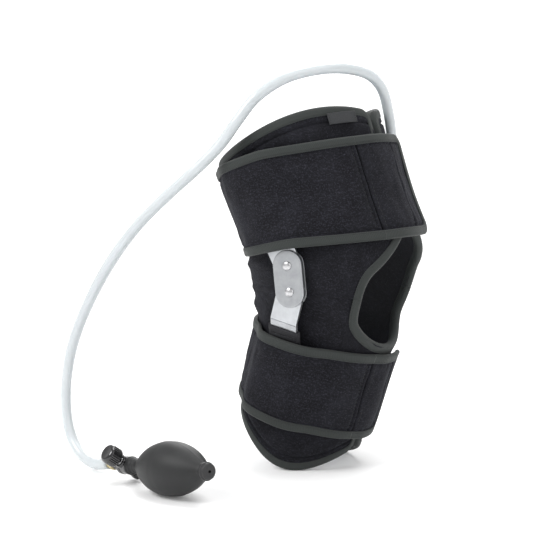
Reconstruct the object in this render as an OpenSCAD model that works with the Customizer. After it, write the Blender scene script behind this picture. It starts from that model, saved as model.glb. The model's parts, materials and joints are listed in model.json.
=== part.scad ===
// Cold compression wrap for the knee: two hinged cuffs, an air chamber, gel packs and a hand pump.
// The frame's origin is on the standing surface, under the hinge line. +X is the front of the knee,
// -Y the lateral side and +Z up. Angles round the leg run from lateral (0) to front (90).

/* [Stance] */
// Height of the hinge centre above the standing surface
knee_height = 174; // [168:1:180]
// Distance of the leg's own axis in front of the hinge line
knee_offset = 13; // [8:1:16]
// Backward lean of the thigh cuff, in degrees
thigh_lean = 20; // [16:1:24]
// Backward lean of the calf cuff, in degrees
calf_lean = 16; // [12:1:18]
// Backward lean of the hinge plates, in degrees
plate_lean = 6; // [4:1:8]

/* [Cuffs] */
// Outer radius of the wrap at the knee
knee_radius = 75; // [70:1:80]
// Outer radius of the calf cuff
calf_radius = 60; // [56:1:64]
// Thickness of the outer laminate
shell_thickness = 3; // [2:0.5:4]
// Thickness of the straps
strap_thickness = 3.6; // [3:0.2:5]
// Width of the edge binding tape
binding_width = 8; // [6:1:10]

/* [Hinge] */
// Distance between the two rivets of a hinge
pivot_spacing = 22.5; // [20:0.5:25]
// Teeth of each stay's geared head, were they all cut
gear_teeth = 15; // [13:2:17]
// Width of the stays
stay_width = 25; // [22:1:27]
// Thickness of the stays
stay_thickness = 3; // [2.5:0.5:3.5]
// Angle of each stay from the line of the two rivets
stay_angle = 20.5; // [16:0.5:22]

/* [Pump] */
// Length of the rubber bulb without its necks
bulb_length = 84; // [76:2:92]
// Diameter of the rubber bulb
bulb_diameter = 45; // [42:1:50]
// Outer diameter of the air hose
hose_diameter = 9.5; // [9:0.5:10]

/* [Hidden] */

// Gap left between soft neighbours, and between the front edges of the wrap
gap = 0.2;
tape_thickness = 1;
strap_lift = 1.4;
lining_thickness = 0.8;
chamber_thickness = 0.8;
layer_gap = 0.6;
gel_thickness = 5;
hook_thickness = 1;
hook_gap = 0.4;
tab_lift = 2;

// Where the two front edges of the wrap stop, as angles round the leg
front_edge = 84;
medial_edge = -271;
// Angles of the straps: sewn start, sewn seam of the free end, and free end
strap_start = -196;
thigh_seam = 59;
thigh_end = 117;
calf_seam = 68;
calf_end = 115;
tab_gap = 0.4;

// Patella opening, in unbent leg coordinates: its middle and half width round the leg, the height of
// its widest level, its top and its bottom
patella_angle = 90;
patella_half = 52;
patella_level = -14;
patella_top = 24.5;
patella_bottom = -48.8;

column_step = 7;

// Hinge levels, from the leg's axis outwards
hinge_inner = 76.4;
plate_thickness = 1.5;
plate_clearance = 0.3;
plate_width = 27;
plate_end_radius = plate_width / 2;
rivet_radius = 2.5;
rivet_clearance = 0.05;
rivet_head_radius = 4;
rivet_head_height = 2;
stay_level = hinge_inner + plate_thickness + plate_clearance;
outer_plate_level = stay_level + stay_thickness + plate_clearance;

upper_stay_length = 98;
lower_stay_length = 104;
// Each stay leaves its geared head flat, steps in towards the leg, then runs along it with a slight twist:
// [start of the step, length of the step, angle of the step, angle of the run, twist]
upper_form = [27, 18, 12, 0, 15];
lower_form = [27, 24, 30, 4, 12];
pocket_wall = 1.2;
pocket_back = 0.8;
pocket_margin = 3;
pocket_length = 51;

// ---- Frames ----

module thigh_frame() {
    translate([knee_offset, 0, knee_height]) rotate([0, -thigh_lean, 0]) children();
}

module calf_frame() {
    translate([knee_offset, 0, knee_height]) rotate([0, calf_lean, 0]) children();
}

module plate_frame() {
    translate([0, 0, knee_height]) rotate([0, -plate_lean, 0]) children();
}

module upper_arm_frame() {
    plate_frame() translate([0, 0, pivot_spacing / 2]) rotate([0, -stay_angle, 0]) children();
}

module lower_arm_frame() {
    plate_frame() translate([0, 0, -pivot_spacing / 2]) rotate([0, stay_angle, 0]) children();
}

// The lateral side is -Y; the medial side is its mirror image
module side(lateral) {
    if (lateral) children(); else mirror([0, 1, 0]) children();
}

// ---- The leg's surface ----

function thigh_radius(z) = knee_radius - 5 + 0.052 * z + 5 * exp(-pow(z / 35, 2));
function calf_radius_at(z) =
    calf_radius + (knee_radius - calf_radius) * exp(-pow(z / 40, 2)) - 3 * pow(z / 155, 4);

// Signed difference of two angles, from -180 to 180
function angle_from(a, b) = let (d = (a - b) % 360) d > 180 ? d - 360 : d < -180 ? d + 360 : d;

// How far an angle is from the middle of the nearer stay pocket, lateral or medial
function from_pocket(a, middle) = min(abs(angle_from(a, -middle)), abs(angle_from(a, 180 + middle)));

// The straps pass over the stay pockets, so they stand out there
function pocket_swell(a, middle) = exp(-pow(from_pocket(a, middle) / 28, 4));
function thigh_strap_radius(a, z) =
    thigh_radius(z) + strap_lift + (9 + 2.6 * smooth((54 - z) / 14)) * pocket_swell(a, 13);
function calf_strap_radius(a, z) = calf_radius_at(z) + strap_lift + 11.8 * pocket_swell(a, 6);

// Unbent leg coordinates run straight through the knee. Beyond 30 mm they are the cuffs' own frames, and
// between them the lean turns smoothly through that of the hinge plates.
knee_reach = 30;
function smooth(t) = let (u = min(1, max(0, t))) u * u * (3 - 2 * u);
function reach(a, slope) = max(knee_reach, 8 - across(a) * tan(slope));
function lean(a, z) = z > 0 ? -plate_lean - (thigh_lean - plate_lean) * smooth(z / reach(a, 24))
    : -plate_lean + (calf_lean + plate_lean) * smooth(-z / reach(a, 29));
function leg_radius(z) = z > 0 ? thigh_radius(z) : calf_radius_at(z);
function back_swell(a, z) = 9 * exp(-pow(angle_from(a, -80) / 50, 2)) * exp(-pow(z / 30, 2));
function bent(a, z, depth) =
    let (r = leg_radius(z) + back_swell(a, z) - depth, x = r * sin(a), t = lean(a, z))
    [knee_offset + x * cos(t) + z * sin(t), -r * cos(a), knee_height - x * sin(t) + z * cos(t)];

// Half width of the patella opening at a height, in degrees
function opening_half(z) = z > patella_level
    ? patella_half * cos(90 * min(1, (z - patella_level) / (patella_top - patella_level)))
    : patella_half * sqrt(max(0, 1 - pow((patella_level - z) / (patella_level - patella_bottom), 2)));

// Upper and lower edge of the opening at an angle, grown by a margin
function opening_share(a) = min(1, abs(angle_from(a, patella_angle)) / (patella_half + 8));
function opening_high(a) = patella_level + (patella_top + binding_width - patella_level) * acos(opening_share(a)) / 90;
function opening_low(a) =
    patella_level - (patella_level - patella_bottom + binding_width) * sqrt(1 - pow(opening_share(a), 2));

// Edges of the pieces along the leg, as heights in the cuff's own frame at an angle round the leg
function across(a) = knee_radius * sin(a) - knee_offset;
function thigh_low(a) = max(across(a) > 0 ? 10 : 8 - across(a) * tan(24), opening_share(a) < 1 ? opening_high(a) : 0);
function thigh_top(a) = 122 + 18 * exp(-pow((angle_from(a, 35)) / 62, 2)) - 5 * sin(a);
function thigh_high(a) = thigh_top(a > -90 ? a : 180 - a);
function calf_high(a) = min(across(a) > 0 ? -6 : -8 + across(a) * tan(29), opening_share(a) < 1 ? opening_low(a) : 0);
function side_lobe(a) = exp(-pow(min(abs(angle_from(a, 16)), abs(angle_from(a, 164))) / 56, 2));
function calf_low(a) = -143 - 33 * side_lobe(a);

function thigh_strap_low(a) = 29 - sin(a) * (sin(a) > 0 ? 20 : 13);
function thigh_strap_high(a) = 114.5 - sin(a) * (sin(a) > 0 ? 13 : 6);
function calf_strap_high(a) = -58 + 3 * sin(a);
function calf_strap_low(a) = -133 - 2 * sin(a);

// ---- A curved patch of sheet ----

// Faces of a closed sheet: first a grid of outer points, then the same grid of inner points
function sheet_faces(columns, rows) =
    let (
        out = function (i, j) i * (rows + 1) + j,
        shift = (columns + 1) * (rows + 1),
        in = function (i, j) shift + i * (rows + 1) + j
    )
    concat(
        [for (i = [0:columns - 1], j = [0:rows - 1]) each [
            [out(i, j), out(i + 1, j + 1), out(i + 1, j)], [out(i, j), out(i, j + 1), out(i + 1, j + 1)],
            [in(i, j), in(i + 1, j), in(i + 1, j + 1)], [in(i, j), in(i + 1, j + 1), in(i, j + 1)]
        ]],
        [for (i = [0:columns - 1]) each [
            [out(i, 0), out(i + 1, 0), in(i + 1, 0)], [out(i, 0), in(i + 1, 0), in(i, 0)],
            [out(i, rows), in(i + 1, rows), out(i + 1, rows)], [out(i, rows), in(i, rows), in(i + 1, rows)]
        ]],
        [for (j = [0:rows - 1]) each [
            [out(0, j), in(0, j), in(0, j + 1)], [out(0, j), in(0, j + 1), out(0, j + 1)],
            [out(columns, j), in(columns, j + 1), in(columns, j)],
            [out(columns, j), out(columns, j + 1), in(columns, j + 1)]
        ]]
    );

// It spans the angles a0 to a1, from low(a) to high(a), between the radii inner(a, z) and outer(a, z).
module patch(a0, a1, rows, low, high, inner, outer, step = column_step) {
    columns = max(1, ceil((a1 - a0) / step));
    function angle(i) = a0 + (a1 - a0) * i / columns;
    function height(i, j) = let (a = angle(i)) low(a) + (high(a) - low(a)) * j / rows;
    function point(i, j, r) =
        let (a = angle(i), z = height(i, j)) [r(a, z) * sin(a), -r(a, z) * cos(a), z];
    points = concat(
        [for (i = [0:columns], j = [0:rows]) point(i, j, outer)],
        [for (i = [0:columns], j = [0:rows]) point(i, j, inner)]
    );
    polyhedron(points, sheet_faces(columns, rows), convexity = 8);
}

// ---- Thigh cuff ----

module thigh_layer(depth, thickness, a0, a1, low, high, rows = 4) {
    thigh_frame() patch(a0, a1, rows, low, high,
        function (a, z) thigh_radius(z) - depth - thickness,
        function (a, z) thigh_radius(z) - depth);
}

module thigh_shell() {
    color("#26262b") thigh_layer(0, shell_thickness, medial_edge, front_edge, function (a) thigh_low(a),
        function (a) thigh_high(a) - binding_width);
}

chamber_depth = shell_thickness + layer_gap;
lining_depth = chamber_depth + chamber_thickness + layer_gap;
gel_depth = lining_depth + lining_thickness + layer_gap;

module thigh_lining() {
    color("#3a3a40") thigh_layer(lining_depth, lining_thickness, medial_edge + 2, front_edge - 2,
        function (a) thigh_low(a) + 2, function (a) thigh_high(a) - binding_width - 1);
}

module thigh_air_chamber() {
    color("#c8ccd2") thigh_layer(chamber_depth, chamber_thickness, medial_edge + 16, front_edge - 16,
        function (a) thigh_low(a) + 10, function (a) thigh_high(a) - 22);
}

module thigh_gel_pack(lateral) {
    middle = lateral ? 10 : -190;
    color("#6f9fce") thigh_layer(gel_depth, gel_thickness, middle - 46, middle + 46,
        function (a) 52, function (a) 108, 3);
}

module thigh_edge_binding() {
    color("#3f4440") thigh_frame() patch(medial_edge, front_edge, 1,
        function (a) thigh_high(a) - binding_width + gap, function (a) thigh_high(a),
        function (a, z) thigh_radius(z) - lining_depth - lining_thickness - tape_thickness,
        function (a, z) thigh_radius(z) + tape_thickness);
}

// A strap from the angle a0 to a1 between its two bound edges
module strap_band(a0, a1, low, high, radius, rows = 3) {
    patch(a0, a1, rows, low, high, radius, function (a, z) radius(a, z) + strap_thickness);
}

// The binding of a strap: two long strips, and a strip across the free end when it has one
module strap_edges(a0, a1, low, high, radius, end_strip) {
    thick = strap_thickness + tape_thickness;
    for (edge = [0, 1]) patch(a0, a1, 1,
        edge == 0 ? low : function (a) high(a) - binding_width,
        edge == 0 ? function (a) low(a) + binding_width : high,
        radius, function (a, z) radius(a, z) + thick);
    if (end_strip) patch(a1 + gap, a1 + 5, 1, low, high, radius, function (a, z) radius(a, z) + thick);
}

module thigh_strap() {
    color("#2a2a30") thigh_frame() strap_band(strap_start, thigh_seam,
        function (a) thigh_strap_low(a) + binding_width + gap,
        function (a) thigh_strap_high(a) - binding_width - gap,
        function (a, z) thigh_strap_radius(a, z));
}

module thigh_strap_binding() {
    color("#3f4440") thigh_frame() strap_edges(strap_start, thigh_seam,
        function (a) thigh_strap_low(a), function (a) thigh_strap_high(a),
        function (a, z) thigh_strap_radius(a, z), false);
}

module thigh_strap_tab() {
    color("#2a2a30") thigh_frame() strap_band(thigh_seam + tab_gap, thigh_end - 5,
        function (a) thigh_strap_low(a) + binding_width + gap,
        function (a) thigh_strap_high(a) - binding_width - gap,
        function (a, z) thigh_strap_radius(a, z) + tab_lift);
}

module thigh_tab_binding() {
    color("#3f4440") thigh_frame() strap_edges(thigh_seam + tab_gap, thigh_end - 5,
        function (a) thigh_strap_low(a), function (a) thigh_strap_high(a),
        function (a, z) thigh_strap_radius(a, z) + tab_lift, true);
}

module thigh_hook_patch() {
    color("#1c1c1f") thigh_frame() patch(thigh_end - 45, thigh_end - 6, 2,
        function (a) thigh_strap_low(a) + 10, function (a) thigh_strap_high(a) - 10,
        function (a, z) thigh_strap_radius(a, z) + hook_gap,
        function (a, z) thigh_strap_radius(a, z) + hook_gap + hook_thickness);
}

module label_tab() {
    color("#4a4d4f") thigh_frame() patch(46, 67, 1,
        function (a) 118.5 - (a - 46) * 0.12, function (a) 128.5 - (a - 46) * 0.12,
        function (a, z) thigh_radius(z) + tape_thickness + 0.4,
        function (a, z) thigh_radius(z) + tape_thickness + 1.2);
}

// ---- Between the cuffs ----

// A curved patch given in unbent leg coordinates, between two depths under the wrap's outer surface
module bent_patch(a0, a1, rows, low, high, outer_depth, inner_depth) {
    columns = ceil((a1 - a0) / column_step);
    function point(i, j, depth) =
        let (a = a0 + (a1 - a0) * i / columns) bent(a, low(a) + (high(a) - low(a)) * j / rows, depth);
    points = concat(
        [for (i = [0:columns], j = [0:rows]) point(i, j, outer_depth)],
        [for (i = [0:columns], j = [0:rows]) point(i, j, inner_depth)]
    );
    polyhedron(points, sheet_faces(columns, rows), convexity = 8);
}

// The middle of the wrap bends with the hinge. Here it fills the space between the cuffs at rest.
panel_gap = 3;

module knee_panel() {
    color("#26262b") bent_patch(patella_angle + patella_half + 10 - 360, patella_angle - patella_half - 10, 8,
        function (a) calf_high(a) + panel_gap, function (a) thigh_low(a) - panel_gap, 0.4, shell_thickness);
}

// A ring of tape round the patella opening
module patella_binding() {
    steps = 40;
    function height(t) = sin(t) > 0
        ? patella_level + (patella_top - patella_level) * asin(sin(t)) / 90
        : patella_level + (patella_level - patella_bottom) * sin(t);
    function place(t, grow) = [patella_angle + (patella_half + grow * 0.8) * cos(t), height(t) + grow * sin(t)];
    function point(t, grow, depth) = let (p = place(t, grow)) bent(p[0], p[1], depth);
    points = [for (i = [0:steps - 1]) let (t = 360 * i / steps) each [
        point(t, 0, -tape_thickness), point(t, binding_width - 1, -tape_thickness),
        point(t, binding_width - 1, 4), point(t, 0, 4)
    ]];
    faces = [for (i = [0:steps - 1], k = [0:3]) let (
        p = 4 * i + k, q = 4 * i + (k + 1) % 4,
        p2 = (p + 4) % (4 * steps), q2 = (q + 4) % (4 * steps)
    ) each [[p, q, q2], [p, q2, p2]]];
    color("#3f4440") polyhedron(points, faces, convexity = 6);
}

// The welded channel that lets air pass from the thigh chamber to the calf chamber, behind the knee
module air_chamber_link() {
    color("#c8ccd2") bent_patch(-101, -79, 8, function (a) calf_high(a) - 4, function (a) thigh_low(a) + 4,
        chamber_depth + 0.4, chamber_depth + 0.4 + chamber_thickness);
}

// ---- Calf cuff ----

module calf_layer(depth, thickness, a0, a1, low, high, rows = 8) {
    calf_frame() patch(a0, a1, rows, low, high,
        function (a, z) calf_radius_at(z) - depth - thickness,
        function (a, z) calf_radius_at(z) - depth);
}

module calf_shell() {
    color("#26262b") calf_layer(0, shell_thickness, medial_edge, front_edge,
        function (a) calf_low(a) + binding_width, function (a) calf_high(a));
}

module calf_lining() {
    color("#3a3a40") calf_layer(lining_depth, lining_thickness, medial_edge + 2, front_edge - 2,
        function (a) calf_low(a) + binding_width + 1, function (a) calf_high(a) - 2);
}

module calf_air_chamber() {
    color("#c8ccd2") calf_layer(chamber_depth, chamber_thickness, medial_edge + 16, front_edge - 16,
        function (a) calf_low(a) + 24, function (a) calf_high(a) - 8);
}

module calf_gel_pack(lateral) {
    middle = lateral ? 4 : -184;
    color("#6f9fce") calf_layer(gel_depth, gel_thickness, middle - 46, middle + 46,
        function (a) -122, function (a) -66, 5);
}

module calf_edge_binding() {
    color("#3f4440") difference() {
        calf_frame() patch(medial_edge, front_edge, 1,
            function (a) calf_low(a), function (a) calf_low(a) + binding_width - gap,
            function (a, z) calf_radius_at(z) - lining_depth - lining_thickness - tape_thickness,
            function (a, z) calf_radius_at(z) + tape_thickness);
        translate([-200, -200, -50]) cube([400, 400, 50]);
    }
}

module calf_strap() {
    color("#2a2a30") calf_frame() strap_band(strap_start, calf_seam,
        function (a) calf_strap_low(a) + binding_width + gap,
        function (a) calf_strap_high(a) - binding_width - gap,
        function (a, z) calf_strap_radius(a, z));
}

module calf_strap_binding() {
    color("#3f4440") calf_frame() strap_edges(strap_start, calf_seam,
        function (a) calf_strap_low(a), function (a) calf_strap_high(a),
        function (a, z) calf_strap_radius(a, z), false);
}

module calf_strap_tab() {
    color("#2a2a30") calf_frame() strap_band(calf_seam + tab_gap, calf_end - 5,
        function (a) calf_strap_low(a) + binding_width + gap,
        function (a) calf_strap_high(a) - binding_width - gap,
        function (a, z) calf_strap_radius(a, z) + tab_lift);
}

module calf_tab_binding() {
    color("#3f4440") calf_frame() strap_edges(calf_seam + tab_gap, calf_end - 5,
        function (a) calf_strap_low(a), function (a) calf_strap_high(a),
        function (a, z) calf_strap_radius(a, z) + tab_lift, true);
}

module calf_hook_patch() {
    color("#1c1c1f") calf_frame() patch(calf_end - 38, calf_end - 6, 2,
        function (a) calf_strap_low(a) + 10, function (a) calf_strap_high(a) - 10,
        function (a, z) calf_strap_radius(a, z) + hook_gap,
        function (a, z) calf_strap_radius(a, z) + hook_gap + hook_thickness);
}

// ---- Hinges ----

// Involute tooth outline for a stay's geared head. Its pitch circle is half the rivet spacing.
pitch_radius = pivot_spacing / 2;
tooth_module = pivot_spacing / gear_teeth;
base_radius = pitch_radius * cos(20);
tip_radius = pitch_radius + 0.8 * tooth_module;
root_radius = pitch_radius - 1.05 * tooth_module;
backlash_angle = 0.9;

function involute_angle(r) = let (t = sqrt(max(0, pow(r / base_radius, 2) - 1))) t * 180 / PI - atan(t);
half_tooth = 90 / gear_teeth + involute_angle(pitch_radius) - backlash_angle;

module tooth() {
    radii = [for (k = [0:4]) base_radius + (tip_radius - base_radius) * k / 4];
    right = [for (r = radii) r * [sin(half_tooth - involute_angle(r)), cos(half_tooth - involute_angle(r))]];
    left = [for (k = [4:-1:0]) [-right[k][0], right[k][1]]];
    foot = root_radius - 0.5;
    polygon(concat([foot * [-sin(half_tooth), cos(half_tooth)], foot * [sin(half_tooth), cos(half_tooth)]],
        right, left));
}

// The geared head seen flat: teeth point along -Y of this drawing, the bar leaves along +Y.
// phase is 0 for a tooth on the line of centres and 0.5 for a space.
module geared_head(phase) {
    circle(r = root_radius, $fn = 64);
    for (k = [-2 - 2 * phase:2]) rotate(180 + 360 / gear_teeth * (k + phase)) tooth();
}

module stay_head(phase) {
    difference() {
        linear_extrude(stay_thickness) union() {
            geared_head(phase);
            translate([-stay_width / 2, 3]) square([stay_width, 20]);
        }
        translate([0, 0, -1]) cylinder(r = rivet_radius + rivet_clearance, h = stay_thickness + 2, $fn = 48);
    }
}

// Turns a flat drawing (X across, Y along the arm) into the hinge plane on the lateral side
module on_lateral(level) {
    translate([0, -level, 0]) rotate([90, 0, 0]) children();
}

// A stay's arm: its children are drawn along the run, with Y = 0 where the run starts
module along_run(form) {
    translate([0, form[0] - 1, 0]) rotate([-form[2], 0, 0]) translate([0, form[1] + 1, 0])
        rotate([form[2] - form[3], 0, 0]) translate([0, 0, stay_thickness / 2]) rotate([0, -form[4], 0])
            translate([0, 0, -stay_thickness / 2]) children();
}

module stay_arm(form, length) {
    run = length - form[0] - form[1];
    translate([-stay_width / 2, 22, 0]) cube([stay_width, form[0] - 22, stay_thickness]);
    translate([0, form[0] - 1, 0]) rotate([-form[2], 0, 0])
        translate([-stay_width / 2, 0, 0]) cube([stay_width, form[1] + 2, stay_thickness]);
    along_run(form) union() {
        translate([-stay_width / 2, -1, 0]) cube([stay_width, run - stay_width / 2 + 1, stay_thickness]);
        translate([0, run - stay_width / 2, 0]) cylinder(r = stay_width / 2, h = stay_thickness, $fn = 64);
    }
}

module upper_stay(lateral) {
    color("#c9ccd0") side(lateral) upper_arm_frame() on_lateral(stay_level) union() {
        stay_head(0);
        stay_arm(upper_form, upper_stay_length);
    }
}

module lower_stay(lateral) {
    color("#c9ccd0") side(lateral) lower_arm_frame() on_lateral(stay_level) mirror([0, 1, 0]) union() {
        stay_head(0.5);
        stay_arm(lower_form, lower_stay_length);
    }
}

module plate_blank() {
    linear_extrude(plate_thickness) difference() {
        union() {
            for (s = [-1, 1]) translate([0, s * pivot_spacing / 2]) circle(r = plate_end_radius, $fn = 96);
            translate([-plate_width / 2, -pivot_spacing / 2]) square([plate_width, pivot_spacing]);
        }
        for (s = [-1, 1]) translate([0, s * pivot_spacing / 2]) circle(r = rivet_radius, $fn = 48);
    }
}

module hinge_plate(lateral, level) {
    color("#a9adb2") side(lateral) plate_frame() on_lateral(level) plate_blank();
}

// A rivet: shank through both plates, a domed head outside and a flat one inside
module rivet() {
    stack = outer_plate_level + plate_thickness - hinge_inner;
    dome = (rivet_head_radius * rivet_head_radius + rivet_head_height * rivet_head_height)
        / (2 * rivet_head_height);
    cylinder(r = rivet_radius, h = stack, $fn = 48);
    translate([0, 0, stack]) intersection() {
        cylinder(r = rivet_head_radius, h = rivet_head_height, $fn = 48);
        translate([0, 0, rivet_head_height - dome]) sphere(r = dome, $fn = 64);
    }
    translate([0, 0, -0.8]) cylinder(r = rivet_head_radius - 0.5, h = 0.8, $fn = 48);
}

module rivets(lateral) {
    color("#dfe2e5") side(lateral) plate_frame() on_lateral(hinge_inner)
        for (s = [-1, 1]) translate([0, s * pivot_spacing / 2, 0]) rivet();
}

// A flat fabric sleeve, open at the hinge end
module sleeve(length) {
    width = stay_width + 2 * pocket_margin;
    difference() {
        translate([0, length, (stay_thickness + pocket_wall - pocket_back) / 2]) rotate([90, 0, 0])
            linear_extrude(length) offset(delta = 1.6, chamfer = true)
                square([width - 3.2, stay_thickness + pocket_wall + pocket_back + 2 * gap - 3.2], center = true);
        translate([-stay_width / 2 - gap, -1, -gap])
            cube([stay_width + 2 * gap, length - pocket_margin + 1, stay_thickness + 2 * gap]);
    }
}

// Each sleeve ends just past the end of its stay
module on_run(form, length) {
    along_run(form) translate([0, length - form[0] - form[1] - pocket_length + pocket_margin + gap, 0])
        sleeve(pocket_length);
}

module upper_pocket(lateral) {
    color("#1f1f23") side(lateral) upper_arm_frame() on_lateral(stay_level) on_run(upper_form, upper_stay_length);
}

module lower_pocket(lateral) {
    color("#1f1f23") side(lateral) lower_arm_frame() on_lateral(stay_level) mirror([0, 1, 0]) on_run(lower_form, lower_stay_length);
}

// ---- Air port, hose and pump ----

port_angle = 136;
port_height = 96;
port_standoff = 11;
port_turn = 30;
port_tube_radius = 4.6;
port_tube_length = 12;
port_bore = 2.4;
flange_radius = 13;
flange_thickness = 2;
flange_lift = 0.7;

module port_frame() {
    thigh_frame() rotate([0, 0, port_angle - 90]) translate([thigh_radius(port_height), 0, port_height])
        children();
}

module port_flange() {
    color("#1b1b1e") port_frame() translate([flange_lift, 0, 0]) rotate([0, 90, 0]) difference() {
        cylinder(r = flange_radius, h = flange_thickness, $fn = 64);
        translate([0, 0, -1]) cylinder(r = port_bore, h = flange_thickness + 2, $fn = 48);
    }
}

module port_elbow() {
    color("#1b1b1e") port_frame() union() {
        translate([flange_lift + flange_thickness, 0, 0]) rotate([0, 90, 0])
            cylinder(r = port_tube_radius, h = port_standoff - flange_lift - flange_thickness, $fn = 48);
        translate([port_standoff, 0, 0]) sphere(r = port_tube_radius, $fn = 48);
        translate([port_standoff, 0, 0]) rotate([port_turn, 0, 0])
            cylinder(r = port_tube_radius, h = port_tube_length, $fn = 48);
    }
}

// The hose's exit at the elbow: a point of the port's frame carried to the row's frame
function from_thigh(p) = [
    knee_offset + p[0] * cos(thigh_lean) - p[2] * sin(thigh_lean), p[1],
    knee_height + p[0] * sin(thigh_lean) + p[2] * cos(thigh_lean)
];
port_tip = [thigh_radius(port_height) + port_standoff, -port_tube_length * sin(port_turn),
    port_height + port_tube_length * cos(port_turn)];
hose_exit = from_thigh([
    port_tip[0] * sin(port_angle) + port_tip[1] * cos(port_angle),
    -port_tip[0] * cos(port_angle) + port_tip[1] * sin(port_angle), port_tip[2]
]);

// The pump lies on the standing surface. Its own +X runs from the valve to the tail of the bulb.
valve_place = [-120, -150, 14.6];
pump_heading = -22;
valve_roll = 35;
bulb_start = 18;
bulb_middle = bulb_start + 4 + bulb_length / 2;
bulb_finish = bulb_start + 8 + bulb_length;
bulb_rest = 0.4;
pump_dip = asin((bulb_diameter / 2 + bulb_rest - valve_place[2]) / bulb_middle);
bulb_wall = 2.5;
neck_radius = 5.6;
flare_radius = 8;
hub_radius = 8;
hub_half = 7;
stem_radius = 4.8;
stem_end = 18;
ferrule_radius = 5.1;
ferrule_end = 28;
air_bore = 1.8;

module pump_frame() {
    translate(valve_place) rotate([0, 0, pump_heading]) rotate([0, -pump_dip, 0]) children();
}

function from_pump(x) = valve_place + x * [
    cos(pump_heading) * cos(pump_dip), sin(pump_heading) * cos(pump_dip), sin(pump_dip)
];

// Radius of the bulb at a distance x from the valve: a flared neck, then a long egg
function bulb_radius(x, shrink = 0) =
    let (t = (x - bulb_start) / (bulb_finish - bulb_start))
    max(neck_radius - shrink + (flare_radius - neck_radius) * pow(max(0, (bulb_start - x) / (bulb_start - hub_half)), 2),
        t > 0 && t < 1 ? (bulb_diameter / 2 - shrink) * pow(sin(180 * t), 0.7) : 0);

module pump_bulb() {
    steps = 34;
    function at(i) = hub_half + (bulb_finish - hub_half) * i / steps;
    outline = concat(
        [for (i = [0:steps]) [bulb_radius(at(i)), at(i)]],
        [for (i = [steps:-1:0]) [bulb_radius(at(i), bulb_wall), at(i)]]
    );
    color("#3a3c3e") pump_frame() rotate([0, 90, 0]) rotate_extrude($fn = 64) polygon(outline);
}

module pump_inlet_valve() {
    color("#1b1b1e") pump_frame() translate([bulb_finish, 0, 0]) rotate([0, 90, 0]) difference() {
        union() {
            cylinder(r = neck_radius + 1.2, h = 5, $fn = 48);
            cylinder(r = neck_radius + 2.2, h = 2, $fn = 48);
        }
        translate([0, 0, 1.5]) cylinder(r = 1.2, h = 5, $fn = 32);
    }
}

barrel_radius = 6;
barrel_half = 9;
plunger_radius = 2;
plunger_clearance = 0.05;
spring_pocket_radius = 4.4;
spring_pocket_start = 5;
button_start = 11.8;
button_length = 13;
button_radius = 8.5;
button_travel = 2.5;

// The valve's cross barrel: its own +Z points out of the release button
module barrel_frame() {
    pump_frame() rotate([90 - valve_roll, 0, 0]) children();
}

module pump_valve_body() {
    color("#101012") difference() {
        union() {
            pump_frame() rotate([0, 90, 0]) translate([0, 0, -hub_half])
                cylinder(r = hub_radius, h = 2 * hub_half, $fn = 64);
            pump_frame() rotate([0, -90, 0]) cylinder(r = stem_radius, h = stem_end, $fn = 48);
            barrel_frame() translate([0, 0, -barrel_half]) cylinder(r = barrel_radius, h = 2 * barrel_half, $fn = 64);
        }
        pump_frame() rotate([0, -90, 0]) translate([0, 0, -hub_half - 1])
            cylinder(r = air_bore, h = stem_end + hub_half + 2, $fn = 32);
        barrel_frame() translate([0, 0, -4]) cylinder(r = plunger_radius + plunger_clearance, h = 10, $fn = 48);
        barrel_frame() translate([0, 0, spring_pocket_start]) cylinder(r = spring_pocket_radius, h = 10, $fn = 48);
    }
}

module pump_valve_cap() {
    color("#101012") barrel_frame() translate([0, 0, -barrel_half - 7]) union() {
        cylinder(r = 6.3, h = 7, $fn = 64);
        translate([0, 0, 2]) cylinder(r = 6.7, h = 3, $fn = 64);
    }
}

module release_button() {
    color("#101012") barrel_frame() union() {
        translate([0, 0, 1]) cylinder(r = plunger_radius, h = button_start, $fn = 48);
        translate([0, 0, button_start]) cylinder(r = button_radius - 1.5, h = button_length, $fn = 64);
        translate([0, 0, button_start + 1.5]) cylinder(r = button_radius, h = button_length - 3.5, $fn = 64);
    }
}

module release_spring() {
    turns = 5;
    sides = 6;
    wire = 0.35;
    coil = 3.2;
    per_turn = 12;
    count = turns * per_turn;
    length = button_start - spring_pocket_start - 2 * wire - 0.1;
    function ring(i) = let (a = 360 * i / per_turn, z = spring_pocket_start + wire + 0.05 + length * i / count)
        [for (k = [0:sides - 1]) let (b = 360 * k / sides)
            [(coil + wire * cos(b)) * cos(a), (coil + wire * cos(b)) * sin(a), z + wire * sin(b)]];
    color("#c8c8c8") barrel_frame() tube([for (i = [0:count]) ring(i)], sides);
}

module hose_ferrule() {
    color("#e6dfba") pump_frame() rotate([0, -90, 0]) translate([0, 0, stem_end]) difference() {
        union() {
            cylinder(r = ferrule_radius - 0.7, h = ferrule_end - stem_end, $fn = 48);
            cylinder(r = ferrule_radius, h = 4, $fn = 48);
        }
        translate([0, 0, -1]) cylinder(r = air_bore, h = 12, $fn = 32);
    }
}

// A closed tube through rings that have the same number of points
module tube(rings, sides) {
    last = len(rings) - 1;
    faces = concat(
        [for (i = [0:last - 1], k = [0:sides - 1]) let (n = (k + 1) % sides) each [
            [i * sides + k, i * sides + n, (i + 1) * sides + n],
            [i * sides + k, (i + 1) * sides + n, (i + 1) * sides + k]
        ]],
        [[for (k = [sides - 1:-1:0]) k]],
        [[for (k = [0:sides - 1]) last * sides + k]]
    );
    polyhedron([for (r = rings) each r], faces, convexity = 10);
}

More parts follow.
